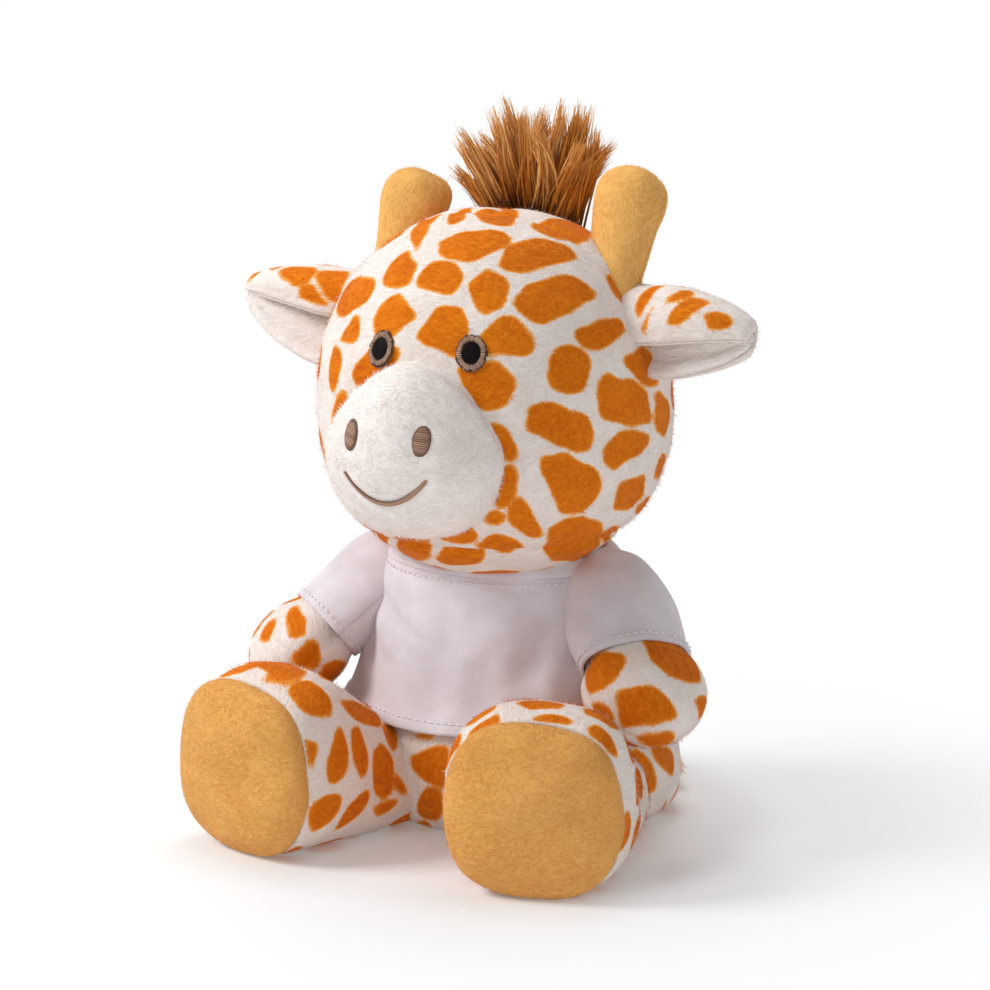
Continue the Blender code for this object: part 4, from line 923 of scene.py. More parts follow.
EAR_PLIES = (("back", ear_plush, "printed_plush", 1.0), ("lining", white_plush, "white_plush", -1.0))
for name, side in SIDES.items():
    for kind, look, slot, sign in EAR_PLIES:
        sheet = ear_sheet(name)
        out = directions_out(sheet)
        facing = 1.0 if out.mean(axis=0)[1] > 0 else -1.0
        edge = np.minimum(np.minimum(sheet.turn, 1 - sheet.turn) * 22, (1 - sheet.along) * 22)
        belly = 0.0001 + 0.0017 * np.clip(edge, 0.0, 1.0) ** 0.5
        print_ends = EAR_PRINT_ENDS_AT[0] + (EAR_PRINT_ENDS_AT[1] - EAR_PRINT_ENDS_AT[0]) * sheet.along
        if kind == "back":
            belly += crease(sheet.turn - print_ends, 0.014, 0.0004) * (sheet.along < 0.93)
        else:
            lower = eased(np.clip(1.0 - np.abs(sheet.turn - 0.27) / 0.29, 0.0, 1.0))
            belly += 0.0040 * lower * np.clip((1 - sheet.along) * 3.5, 0.0, 1.0) ** 0.7
        belly += lumps(sheet.points, 0.012, 33) * 0.0003 * np.clip(edge, 0.0, 1.0)
        sheet.points = sheet.points + out * (facing * sign * belly)[:, None]
        sheet.points = sheet.points * (side, 1.0, 1.0)
        replaced = [f"ear_{kind}_{name}"]
        obj = piece(f"ear_plush_{kind}_{name}", sheet, look, "ear_" + name, replaced, thickness=0.0006)
        if kind == "back":
            field = spot_field(sheet, 31 + int(side), EAR_PATCHES[name], 0.0085, 0.0022, (0.01, 0.01), 0.0005)
            rim = np.minimum(print_ends - sheet.turn, sheet.turn - 0.10) * 40
            field = np.minimum(field, np.minimum(rim, (0.95 - sheet.along) * 35))
            kept(obj, "spot", np.tile(field, len(obj.data.vertices) // len(sheet.points)))

# %% [markdown]
# ## The hair
# The tuft is a brush of stiff fibre sewn into the crown's seam. Thirty locks of 120 thin tapered ribbons, fanned out
# from one short root line, give its ragged outline; its dark root is painted shade in the fibre's colour. A small mound
# closes the gaps between the roots, in the same dark root colour: a sheet of painted shade.

# %% Hair tuft


def strands(roots, tips, widths, bends, tones, steps=5):
    """Thin ribbons that taper from their roots to their tips and bow a little."""
    points, faces, ways = [], [], []
    for root, tip, width, bend in zip(roots, tips, widths, bends):
        line = tip - root
        side = unit(np.cross(line, chance.normal(size=3)))
        start = len(points)
        for k in range(steps + 1):
            t = k / steps
            middle = root + line * t + bend * (t * (1 - t) * 4)
            half = width * (1.0 - 0.8 * t**3) / 2
            points += [middle - side * half, middle + side * half]
            ways += [t, t]
        faces += [(k, k + 1, k + 3, k + 2) for k in range(start, start + 2 * steps, 2)]
    return Surface(np.array(points), faces, np.repeat(tones, 2 * (steps + 1)), np.array(ways))


chance = np.random.default_rng(5)
HAIR_ROOT = HEAD_CENTRE + (0.0, 0.0200, math.sqrt(HEAD_RADIUS**2 - 0.0200**2))
HAIR_LENGTH = 0.0386
LOCK_COUNT = 30
STRANDS_PER_LOCK = 120
fan = np.concatenate([np.linspace(-1.0, 1.0, LOCK_COUNT // 2), np.linspace(-0.94, 0.94, LOCK_COUNT // 2)])
depth = np.repeat([-1.0, 1.0], LOCK_COUNT // 2) * chance.uniform(0.2, 1.0, LOCK_COUNT)
lean = fan * 0.58 - 0.20 + chance.normal(0.0, 0.05, LOCK_COUNT)
tilt = depth * 0.22 + chance.normal(0.10, 0.08, LOCK_COUNT)
reach = HAIR_LENGTH * (1.0 - 0.30 * np.abs(fan) ** 2.0) * chance.uniform(0.78, 1.0, LOCK_COUNT)
lock_roots = np.column_stack([fan * 0.0080 + 0.0026, depth * 0.0036, -0.0028 - 0.0018 * np.abs(fan) ** 2])
lock_roots = HAIR_ROOT + lock_roots
lock_ways = unit(np.column_stack([np.sin(lean), np.sin(tilt) + 0.22, np.cos(lean)]))
lock_tips = lock_roots + lock_ways * reach[:, None]
every = STRANDS_PER_LOCK
roots = np.repeat(lock_roots, every, axis=0)
roots = roots + chance.normal(0.0, 1.0, (LOCK_COUNT * every, 3)) * (0.0017, 0.0016, 0.0004)
spread = chance.normal(0.0, 1.0, (LOCK_COUNT * every, 3)) * 0.0010
lengths = chance.uniform(0.55, 1.0, (LOCK_COUNT * every, 1)) ** 0.6
tips = roots + (np.repeat(lock_tips, every, axis=0) + spread - roots) * lengths
bends = np.repeat(chance.normal(0.0, 0.0013, (LOCK_COUNT, 3)), every, axis=0)
bends += chance.normal(0.0, 0.0005, bends.shape) + (tips - roots) * (-0.06, 0.0, 0.0)
tones = np.repeat(chance.uniform(0.0, 0.8, LOCK_COUNT), every) + chance.uniform(0.0, 0.3, len(roots))
hair = strands(roots, tips, chance.uniform(0.0003, 0.0008, len(roots)), bends, tones)
hair_tuft = piece("hair_tuft_strands", hair, hair_fibre, "head", ["hair_tuft"])
mound = turned(smooth_line([(0.0, 0.005), (0.6, 0.004), (1.0, 0.0), (1.1, -0.004)], 0.06), 40)
mound.points = mound.points * (0.0105, 0.0050, 1.0)
mound.points += HAIR_ROOT + lumps(mound.points, 0.004, 41)[:, None] * (0.0004, 0.0004, 0.0008)
# With no way along it, the mound takes the fibre's root colour all over: a dark sheet of painted shade between the
# roots.
mound.along = mound.turn = np.zeros(len(mound.points))
piece("hair_tuft_root", mound, hair_fibre, "head")

# %% [markdown]
# ## The body
# The body is a pear of printed plush that sags where it sits. Below the T-shirt's hem it shows between the legs and
# round the back, with a seam up its back.

# %% Body cover


def torso_place(points):
    """Makes a turned torso oval, sets it back and leans it forward as it rises."""
    back = SEAT_BACKSET - TORSO_LEAN * points[:, 2] / TORSO_HEIGHT
    return np.column_stack([points[:, 0], points[:, 1] * SEAT_HALF_DEPTH / SEAT_HALF_WIDTH + back, points[:, 2]])


BODY_STATIONS = [(r * SEAT_HALF_WIDTH, z * (TORSO_HEIGHT + FLOOR_CUT) - FLOOR_CUT) for z, r in BODY_OUTLINE_SHARES]
body = turned(smooth_line(BODY_STATIONS[:-1], 0.0013), 190)
local = body.points.copy()
body.points = torso_place(local)
back = crease(np.abs(local[:, 0]), 0.0014, 0.0009) * (local[:, 1] > 0)
front = crease(np.abs(local[:, 0]), 0.0014, 0.0007) * (local[:, 1] < 0)
body = moved_out(body, (back + front + lumps(local, 0.030, 51) * 0.0006) * (local[:, 2] > 0.002))
body.points[:, 2] = np.maximum(body.points[:, 2], FLOOR_GAP)
body_cover = piece("body_plush_cover", body, body_plush, "torso", ["body_cover"])
BODY_PATCHES = (
    ((-105, 81), (-102, 80), (-96, 79), (-94, 80), (-95, 81), (-100, 83), (-103, 82)),
    ((24, 91), (23, 93), (22, 95), (15, 90)),
    ((-104, 88), (-103, 87), (-93, 83), (-90, 83), (-90, 94), (-95, 94), (-103, 91)),
    ((-103, 104), (-102, 100), (-98, 95), (-92, 95), (-92, 103), (-94, 105), (-101, 106)),
    ((-1, 109), (-6, 104), (-3, 102), (3, 105), (5, 108), (-1, 110)),
    ((-103, 107), (-100, 106), (-100, 108), (-103, 113), (-109, 112)),
    ((-22, 86), (-16, 85), (-11, 91), (-10, 98), (-16, 98), (-22, 92)),
    ((-11, 86), (-1, 87), (7, 91), (3, 96), (-5, 94), (-10, 89)),
)
kept(body_cover, "spot", spot_field(body, 61, BODY_PATCHES, 0.0115))

# %% [markdown]
# ## Arms and legs
# Each limb is a stuffed tube with a round end. A leg rests on the floor, so its underside is flat and wide, and its
# end is closed by a round sole that bulges between its seams.

# %% Arms
SHOULDER = np.array((0.0327, 0.0034, 0.06703))
SHOULDER_RADIUS = 0.0105
HAND_RADIUS = 0.0170
ARM_LENGTH = 0.0515
ARM_FLATNESS_SHARE = 0.74
HAND_RESTS_AT = np.array((0.0611, -0.0245, 0.0342))
ARM_FLAT_SIDE = np.array((0.557, -0.384, 0.734))
ARM_OUTLINE_SHARES = (
    (-0.18, 0.0), (-0.145, 0.48), (-0.08, 0.82), (0.0, 1.0), (0.155, 1.19), (0.32, 1.28), (0.49, 1.33),
)
HAND_OUTLINE_SHARES = ((0.60, 0.97), (0.72, 1.0), (0.84, 0.87), (0.93, 0.60), (0.985, 0.25), (1.0, 0.0))


def arm_place(side):
    """Lays a turned arm along its direction and flattens it on its outer side."""
    mirror = np.array((side, 1.0, 1.0))
    along = unit((HAND_RESTS_AT - SHOULDER) * mirror)
    flat = ARM_FLAT_SIDE * mirror
    flat = unit(flat - along * (flat @ along))
    turn = np.column_stack([np.cross(flat, along), flat, along])
    return lambda points: SHOULDER * mirror + (points * (1.0, ARM_FLATNESS_SHARE, 1.0)) @ turn.T


ARM_PATCHES_L = (
    ((93, 40), (59, 39), (35, 45), (43, 53), (70, 56), (93, 53), (101, 49)),
    ((-169, 42), (153, 41), (121, 45), (119, 49), (148, 54), (173, 53), (-178, 47)),
    ((55, 60), (50, 59), (32, 56), (22, 56), (10, 58), (-7, 59), (19, 64)),
    ((141, 57), (123, 56), (99, 57), (76, 64), (72, 67), (125, 69), (166, 65)),
    ((178, 54), (162, 56), (161, 61), (-173, 63), (-170, 60), (-175, 56)),
    ((-166, 69), (137, 71), (59, 72), (-35, 67), (-67, 72), (-105, 68)),
)
ARM_PATCHES_R = (
    ((72, 48), (79, 46), (72, 44), (36, 46), (27, 49), (36, 52), (44, 52)),
    ((80, 56), (80, 51), (72, 51), (55, 56), (53, 57), (63, 59), (76, 59)),
    ((22, 55), (20, 49), (16, 47), (-6, 49), (-15, 51), (-15, 53), (17, 56)),
    ((-19, 52), (-19, 49), (-28, 46), (-55, 45), (-60, 49), (-42, 54), (-31, 54)),
)
ARM_PATCHES = {"L": ARM_PATCHES_L, "R": ARM_PATCHES_R}
arm_stations = [(r * SHOULDER_RADIUS, s * ARM_LENGTH) for s, r in ARM_OUTLINE_SHARES]
arm_stations += [(r * HAND_RADIUS, s * ARM_LENGTH) for s, r in HAND_OUTLINE_SHARES]
for name, side in SIDES.items():
    arm = turned(smooth_line(arm_stations, 0.0011), 88)
    local = arm.points.copy()
    arm.points = arm_place(side)(local)
    seam = crease(np.abs(local[:, 1]), 0.0012, 0.0006)
    arm = moved_out(arm, seam + lumps(local, 0.018, 71) * 0.0004)
    obj = piece("arm_plush_cover_" + name, arm, arm_plush, "arm_" + name, ["arm_cover_" + name])
    kept(obj, "spot", spot_field(arm, 73 + int(side), ARM_PATCHES[name], 0.0105))

# %% Legs and soles
FOOT_RADIUS = 0.0250
SOLE_RADIUS = 0.0237
SOLE_BULGE = 0.0086
SOLE_FULLNESS = 0.74
THIGH_RADIUS = 0.0185
LEG_LENGTH = 0.0690
HIP = np.array((0.0270, -0.0050, 0.0))
HIP_TO_SOLE = 0.0585
LEG_SPLAY_DEG = {"L": 14.5, "R": 17.0}
FOOT_OUTLINE_SHARES = ((0.06, 0.975), (0.16, 1.0), (0.275, 0.975), (0.39, 0.91))
THIGH_OUTLINE_SHARES = ((0.51, 1.18), (0.65, 1.16), (0.81, 1.12), (0.93, 0.88), (0.985, 0.48), (1.0, 0.0))
LEG_HEIGHT_SHARES = ((0.0, 1.0), (0.30, 1.0), (0.42, 0.93), (0.57, 0.80), (0.81, 0.66), (1.0, 0.66))
LEG_SAG_SHARES = ((0.0, 0.50), (0.20, 0.65), (0.45, 1.0), (1.0, 1.0))
FOOT_SQUARE_SHARES = ((0.0, 0.50), (0.15, 0.42), (0.40, 0.0), (1.0, 0.0))
LEG_SAG_POWER = 3.4
LEG_PATCHES_L = (
    ((123, 15), (113, 17), (108, 20), (102, 12), (100, 2), (119, 4), (124, 12)),
    ((140, 13), (137, 13), (132, 14), (124, 7), (124, 4), (140, 10)),
    ((21, 1), (23, 4), (20, 6), (15, 7), (1, 7), (-4, 5), (-59, 63)),
    ((-21, 47), (-20, 54), (-30, 36), (-31, 35)),
    ((-56, 20), (-59, 49), (-12, 2), (-17, 5), (-32, 10), (-39, 8), (-39, 6)),
    ((59, 4), (55, 8), (42, 7), (32, 5), (39, 2), (53, 2)),
    ((107, 20), (97, 19), (84, 20), (88, 9), (97, 10)),
    ((91, 4), (83, 6), (70, 6), (67, 3), (77, 1), (88, 2)),
)
LEG_PATCHES_R = (
    ((149, 21), (84, 2), (76, 3), (64, 4), (58, 4), (59, 0), (60, 0)),
    ((58, 5), (64, 11), (61, 14), (42, 15), (34, 13), (40, 6), (50, 4)),
    ((59, 0), (59, 2), (54, 2), (48, 3), (43, 1), (43, 0)),
    ((124, 5), (113, 10), (97, 10), (99, 5), (111, 3)),
    ((113, 11), (107, 17), (97, 21), (72, 16), (72, 10), (85, 8)),
    ((31, 1), (26, 6), (20, 7), (9, 4), (1, 3), (5, 2), (20, 1)),
    ((9, 8), (26, 13), (29, 16), (18, 17), (-1, 16), (-5, 12), (-2, 9)),
    ((26, 20), (28, 24), (14, 25), (-2, 24), (-7, 21), (9, 18)),
    ((13, 27), (23, 32), (15, 37), (-4, 37), (-18, 33), (-18, 28)),
    ((42, 18), (56, 31), (61, 42), (36, 34), (32, 26), (35, 20)),
    ((42, 37), (53, 45), (34, 42), (21, 38), (27, 36)),
    ((-15, 3), (-10, 8), (-13, 13), (-23, 13), (-32, 9), (-34, 5), (-26, 3)),
    ((-20, 17), (-14, 23), (-18, 25), (-26, 24), (-36, 18), (-39, 14), (-29, 14)),
    ((-26, 27), (-20, 33), (-21, 37), (-27, 36), (-31, 30)),
    ((2, 37), (-4, 40), (-18, 41), (-18, 38), (-9, 36)),
)
LEG_PATCHES = {"L": LEG_PATCHES_L, "R": LEG_PATCHES_R}
leg_stations = [(SOLE_RADIUS - 0.0016, 0.0006), (SOLE_RADIUS, 0.0)]
leg_stations += [(r * FOOT_RADIUS, s * LEG_LENGTH) for s, r in FOOT_OUTLINE_SHARES]
leg_stations += [(r * THIGH_RADIUS, s * LEG_LENGTH) for s, r in THIGH_OUTLINE_SHARES]


def leg_place(name, points):
    """Lays a turned leg along the floor, where it sags wide below and gets lower towards the hip."""
    side = SIDES[name]
    splay = math.radians(LEG_SPLAY_DEG[name]) * side
    ahead = np.array((math.sin(splay), -math.cos(splay), 0.0))
    across = np.cross(ahead, (0.0, 0.0, 1.0))
    seam = HIP * (side, 1.0, 1.0) + ahead * HIP_TO_SOLE
    x, y, z = points.T
    height = np.interp(z / LEG_LENGTH, *np.array(LEG_HEIGHT_SHARES).T)
    sag = np.interp(z / LEG_LENGTH, *np.array(LEG_SAG_SHARES).T)
    radius = np.hypot(x, y) + 1e-9
    x = np.where(radius < 1e-6, 1e-6, x)
    squarer = (np.abs(x) / radius) ** LEG_SAG_POWER + (np.abs(y) / radius) ** LEG_SAG_POWER
    squarer = squarer ** (-1.0 / LEG_SAG_POWER)
    above = np.interp(z / LEG_LENGTH, *np.array(FOOT_SQUARE_SHARES).T)
    wider = 1.0 + (squarer - 1.0) * np.where(y < 0.0, sag, above)
    lengthwise = [station[::-1] for station in leg_stations[1:]]
    rise = np.interp(np.minimum(z, 0.81 * LEG_LENGTH), *np.array(lengthwise).T)
    up = rise * height - FLOOR_CUT + y * wider * height
    placed = seam - np.outer(z, ahead) - np.outer(x * wider, across)
    placed[:, 2] = np.maximum(up, FLOOR_GAP)
    return placed


for name, side in SIDES.items():
    outline = np.vstack([leg_stations[:1], smooth_line(leg_stations[1:], 0.0012)])
    leg = turned(outline, 132)
    local = leg.points.copy()
    leg.points = leg_place(name, local)
    seams = crease(np.abs(local[:, 0]), 0.0013, 0.0008) * (local[:, 1] < 0.0)
    seams += crease(local[:, 2], 0.0012, 0.0004)
    lift = np.clip(leg.points[:, 2] / 0.004, 0.0, 1.0)
    leg = moved_out(leg, (seams + lumps(local, 0.022, 81) * 0.0006) * lift)
    obj = piece("leg_plush_cover_" + name, leg, leg_plush, "leg_" + name, ["leg_cover_" + name])
    field = np.minimum(spot_field(leg, 83 + int(side), LEG_PATCHES[name], 0.0110), (leg.along - 0.0022) * 1000)
    kept(obj, "spot", field)
    bows = np.linspace(0.0, math.pi / 2, 24)
    dome = [(SOLE_RADIUS * math.cos(a) ** SOLE_FULLNESS, -SOLE_BULGE * math.sin(a)) for a in bows]
    dome[-1] = (0.0, dome[-1][1])
    tuck = [(SOLE_RADIUS - 0.0010, 0.0016), (SOLE_RADIUS - 0.0003, 0.0006)]
    sole = turned(np.vstack([tuck, smooth_line(dome, 0.0010)]), 132)
    local = sole.points.copy()
    sole.points = leg_place(name, local)
    edge = crease(local[:, 2], 0.0011, 0.0003)
    sole = moved_out(sole, edge + lumps(local, 0.020, 91) * 0.0005)
    sole.points[:, 2] = np.maximum(sole.points[:, 2], FLOOR_GAP)
    obj = piece("sole_plush_" + name, sole, tan_plush, "leg_" + name, ["sole_" + name])

# %% [markdown]
# ## The T-shirt
# The T-shirt is a short tube of jersey over the body, with two sleeves, a neck band and turned hems held by a row of
# stitches. It hangs from the shoulders, so it is smooth there and breaks into soft folds towards its hem.

# %% T-shirt body
SHIRT_EASE = 0.0008
COTTON_WALL = 0.0010
HEM_HEIGHT = TORSO_HEIGHT * 0.3565
SHIRT_TOP_HEIGHT = TORSO_HEIGHT * 0.8562
HEM_FLARE = 0.0020
HEM_FOLD_DEPTH = 0.0011
HEM_FOLD_COUNT = 7
COLLAR_WIDTH = 0.0048
SHIRT_AROUND = 240
SHIRT_UNROLLED = np.array((0.038, 0.042))


def shirt_radius(heights, grow=0.0):
    """The cloth's distance from the body's axis at each height, over the body's outline."""
    outline = smooth_line(BODY_STATIONS[:-1], 0.0013)
    order = np.argsort(outline[:, 1])
    return np.interp(heights, outline[order, 1], outline[order, 0]) + SHIRT_EASE + COTTON_WALL + grow


def shirt_points(turn, height, grow=0.0):
    """Points of the T-shirt's outside, for turns about the body and heights."""
    fall = np.clip((SHIRT_TOP_HEIGHT - height) / (SHIRT_TOP_HEIGHT - HEM_HEIGHT), 0.0, 1.0)
    radius = shirt_radius(height, grow) + HEM_FLARE * fall**2
    folds = HEM_FOLD_DEPTH * fall**1.6 * np.cos(HEM_FOLD_COUNT * turn + 0.5 * np.sin(turn * 2))
    radius = radius + folds
    points = np.column_stack([radius * np.cos(turn), radius * np.sin(turn), height])
    return torso_place(points)


SHIRT_FOLDS = (
    (-160.0, 24.0, 7.0, 0.0013), (-138.0, 14.0, 6.0, 0.0010), (-112.0, 6.0, 8.0, 0.0008), (-62.0, -10.0, 7.0, 0.0011),
    (-40.0, -16.0, 6.0, 0.0014), (-20.0, -20.0, 6.0, 0.0010), (70.0, 8.0, 8.0, 0.0010), (110.0, -8.0, 8.0, 0.0010),
)
SHIRT_CREASES = (
    (-38.0, 0.08, -66.0, 0.66, 0.0046, -0.0019), (-24.0, 0.25, -47.0, 0.86, 0.0042, 0.0011),
    (-60.0, 0.10, -82.0, 0.50, 0.0040, 0.0009), (-138.0, 0.22, -106.0, 0.44, 0.0026, -0.0012),
    (-138.0, 0.36, -108.0, 0.66, 0.0030, 0.0009), (-92.0, 0.30, -96.0, 1.10, 0.0042, -0.0010),
    (-52.0, 0.80, -60.0, 1.10, 0.0040, -0.0010), (-74.0, 0.03, -50.0, 0.07, 0.0016, -0.0005),
    (60.0, 0.15, 84.0, 0.80, 0.0042, -0.0013), (122.0, 0.12, 100.0, 0.70, 0.0042, -0.0012),
    (100.0, 0.35, 88.0, 1.00, 0.0040, 0.0009), (30.0, 0.30, 52.0, 0.95, 0.0036, -0.0011),
    (150.0, 0.30, 134.0, 0.95, 0.0036, -0.0011),
)
turns = np.linspace(0.0, math.tau, SHIRT_AROUND + 1)[:-1]
heights = np.linspace(SHIRT_TOP_HEIGHT + 0.0022, HEM_HEIGHT, 64)
points = np.vstack([shirt_points(turns, np.full(len(turns), z)) for z in heights])
faces = ring_faces(len(heights), SHIRT_AROUND)
fallen = np.repeat(SHIRT_TOP_HEIGHT - heights, SHIRT_AROUND)
shirt = Surface(points, faces, np.tile(turns * 0.045, len(heights)), fallen)
drop = np.repeat((SHIRT_TOP_HEIGHT - heights) / (SHIRT_TOP_HEIGHT - HEM_HEIGHT), SHIRT_AROUND)
round_turn = np.tile(turns, len(heights))
soft = lumps(shirt.points * (1.0, 1.0, 0.45), 0.022, 95) * 0.0010 * np.clip(drop * 1.3, 0.15, 1.0)
for fold_turn, lean_turn, width, lift in SHIRT_FOLDS:
    gap = (round_turn - math.radians(fold_turn) - math.radians(lean_turn) * drop + math.pi) % math.tau - math.pi
    soft += lift * np.exp(-((gap / math.radians(width)) ** 2)) * np.clip(drop * 1.6, 0.0, 1.0) ** 1.2
unrolled = np.column_stack([(round_turn + math.pi) % math.tau - math.pi, drop]) * SHIRT_UNROLLED
for turn_one, drop_one, turn_two, drop_two, width, lift in SHIRT_CREASES:
    one = np.array((math.radians(turn_one), drop_one)) * SHIRT_UNROLLED
    two = np.array((math.radians(turn_two), drop_two)) * SHIRT_UNROLLED
    share = np.clip((unrolled - one) @ (two - one) / ((two - one) @ (two - one)), 0.0, 1.0)
    gap = np.linalg.norm(unrolled - one - share[:, None] * (two - one), axis=1)
    soft += lift * np.exp(-((gap / width) ** 2)) * (1.0 - 0.55 * np.abs(2 * share - 1) ** 2)
hem_band = 0.00045 * np.clip((HEM_HEIGHT + 0.0027 - np.repeat(heights, SHIRT_AROUND)) / 0.0006, 0.0, 1.0)
shirt = moved_out(shirt, soft + hem_band)
shirt_body = piece("shirt_jersey_body", shirt, cotton, "torso", ["shirt_body"], thickness=0.0008)

# %% Neck band
BAND_ROWS = 12
rows = []
for angle in np.linspace(0.0, math.tau, BAND_ROWS + 1)[:-1]:
    height = SHIRT_TOP_HEIGHT + 0.0003 + COLLAR_WIDTH / 2 + COLLAR_WIDTH / 2 * math.sin(angle)
    grow = 0.0006 * math.cos(angle) + 0.0002
    level = np.full(SHIRT_AROUND, height)
    radius = shirt_radius(level, grow)
    rows.append(torso_place(np.column_stack([radius * np.cos(turns), radius * np.sin(turns), level])))
points = np.vstack(rows)
faces = ring_faces(BAND_ROWS, SHIRT_AROUND, closed=True)
ways = np.repeat(np.arange(BAND_ROWS) * 0.0006, SHIRT_AROUND)
band = Surface(points, faces, np.tile(turns * 0.040, BAND_ROWS), ways)
piece("shirt_neck_band", band, cotton, "torso", ["neck_band"])

# %% Sleeves
SLEEVE_LENGTH = 0.0260
SLEEVE_RADIUS = 0.0160
SLEEVE_OUTLINE_SHARES = (
    (-0.40, 0.0), (-0.345, 0.45), (-0.20, 0.74), (0.0, 0.90), (0.31, 0.97), (0.64, 1.0), (1.0, 1.0),
)
SLEEVE_AROUND = 110
CUFF_AT_SHARE = 0.905
cuff_rings = {}
for name, side in SIDES.items():
    line = smooth_line([(r * SLEEVE_RADIUS, s * SLEEVE_LENGTH) for s, r in SLEEVE_OUTLINE_SHARES], 0.0010)
    sleeve = turned(line, SLEEVE_AROUND)
    local = sleeve.points.copy()
    sleeve.points = arm_place(side)(local)
    share = local[:, 2] / SLEEVE_LENGTH
    cuff = 0.0003 * (share > CUFF_AT_SHARE) - 0.0007 * np.clip((share - 0.7) / 0.3, 0.0, 1.0)
    puff = 0.0009 * np.exp(-(((share - 0.35) / 0.35) ** 2))
    sleeve = moved_out(sleeve, cuff + puff + lumps(local, 0.020, 101) * 0.0006)
    level = int(np.abs(local[1::SLEEVE_AROUND, 2] / SLEEVE_LENGTH - CUFF_AT_SHARE).argmin())
    cuff_rings[name] = ring_of(sleeve, SLEEVE_AROUND, level, 1)
    sleeve.turn = sleeve.turn * 0.015
    replaced = ["shirt_sleeve_" + name]
    obj = piece("shirt_jersey_sleeve_" + name, sleeve, cotton, "arm_" + name, replaced, thickness=0.0008)
    "arm_cover_" + name

# %% [markdown]
# ## Hems and their stitches
# The hem, the cuffs and the collar are turned under and held by one row of machine stitches. Each stitch is a short
# round bit of thread that sinks in at its ends, two millimetres from the next.

# %% Rows of stitches
STITCH_PITCH = 0.0021
STITCH_LENGTH = 0.0014
STITCH_RADIUS = 0.00024


def stitch_row(name, line, out, body, slot):
    """Small bits of thread along a closed line of points, just off the cloth."""
    line = line + out * 0.0001
    steps = np.linalg.norm(np.diff(np.vstack([line, line[:1]]), axis=0), axis=1)
    way = np.concatenate([[0.0], np.cumsum(steps)])
    whole = np.vstack([line, line[:1]])
    ways_out = np.vstack([out, out[:1]])
    points, faces = [], []
    for start in np.arange(0.0, way[-1] - STITCH_LENGTH, STITCH_PITCH):
        base = len(points)
        for share in np.linspace(0.0, 1.0, 5):
            at = start + share * STITCH_LENGTH
            centre = np.array([np.interp(at, way, whole[:, k]) for k in range(3)])
            ahead = np.array([np.interp(at + 0.0003, way, whole[:, k]) for k in range(3)])
            up = unit([np.interp(at, way, ways_out[:, k]) for k in range(3)])
            side_way = unit(np.cross(unit(ahead - centre), up))
            lift = 0.00016 * math.sin(math.pi * share) + 0.00006
            reach = STITCH_RADIUS * math.sin(math.pi * (0.15 + 0.7 * share))
            for turn in np.linspace(0.0, math.tau, 7)[:-1]:
                points.append(centre + up * (lift + reach * math.sin(turn)) + side_way * reach * math.cos(turn))
        for ring in range(4):
            for k in range(6):
                one, two = base + ring * 6 + k, base + ring * 6 + (k + 1) % 6
                faces.append((one, two, two + 6, one + 6))
    row = Surface(np.array(points), faces, np.zeros(len(points)), np.zeros(len(points)))
    return piece(name, row, stitch_thread, body)


hem_row = int(np.abs(heights - (HEM_HEIGHT + 0.0026)).argmin())
stitch_row("shirt_hem_stitches", *ring_of(shirt, SHIRT_AROUND, hem_row), "torso", "cotton")
collar_row = int(np.abs(heights - (SHIRT_TOP_HEIGHT - 0.0012)).argmin())
stitch_row("shirt_collar_stitches", *ring_of(shirt, SHIRT_AROUND, collar_row), "torso", "cotton")
for name in SIDES:
    stitch_row("shirt_cuff_stitches_" + name, *cuff_rings[name], "arm_" + name, "cotton")

# %% [markdown]
# ## The tail
# Only the end of the tail shows, low down behind the seat: a thin printed tube with a tuft of pale fibre.

# %% Tail and its tuft
TAIL_ROUTE = np.array((
    (0.0010, 0.0525, 0.0150), (0.0075, 0.0563, 0.0115), (0.0160, 0.0562, 0.0085), (0.0240, 0.0528, 0.0068),
))
TAIL_RADIUS = 0.0030
TUFT_START = np.array((0.0268, 0.0516, 0.0064))
TUFT_END = np.array((0.0455, 0.0318, 0.0048))
route = smooth_line(TAIL_ROUTE + (1.0, 0.0, 0.0), 0.0012) - (1.0, 0.0, 0.0)
rows = []
ways = unit(np.gradient(route, axis=0))
turns = np.linspace(0.0, math.tau, 25)
for point, way, t in zip(route, ways, np.linspace(0.0, 1.0, len(route))):
    side_way = unit(np.cross(way, (0.0, 0.0, 1.0)))
    up_way = np.cross(side_way, way)
    reach = TAIL_RADIUS * (1.0 - 0.12 * t)
    rows.append(point + np.outer(reach * np.cos(turns), side_way) + np.outer(reach * np.sin(turns), up_way))
tail = grid(rows)
obj = piece("tail_plush_cover", tail, body_plush, "tail", ["tail_cover"])
kept(obj, "spot", spot_field(tail, 111, (), 0.0065, 0.0018))
count = 420
away = chance.uniform(-1.0, 1.0, (count, 3)) * (0.0016, 0.0016, 0.0012)
roots = np.repeat([TUFT_START - unit(TUFT_END - TUFT_START) * 0.003], count, axis=0) + away
spread = chance.uniform(-1.0, 1.0, (count, 3)) * (0.0026, 0.0026, 0.0016)
tips = roots + (TUFT_END - TUFT_START) * chance.uniform(0.35, 0.62, (count, 1)) + spread
tips[:, 2] = np.maximum(tips[:, 2], 0.0006)
bends = chance.normal(0.0, 0.0006, (count, 3))
tuft = strands(roots, tips, chance.uniform(0.0003, 0.0007, count), bends, chance.uniform(0.0, 1.0, count))
piece("tail_tuft_strands", tuft, tail_fibre, "tail", ["tail_tuft"])

# %% [markdown]
# ## Pile that stands off the cloth
# The outline of plush is never a clean line: single fibres stand off it. Short tapered blades, dealt over each cover
# with a fixed seed and combed one way, give that soft edge. They take the light like the cloth below them, so they
# don't sparkle, and each has the colour of the print where it grows.

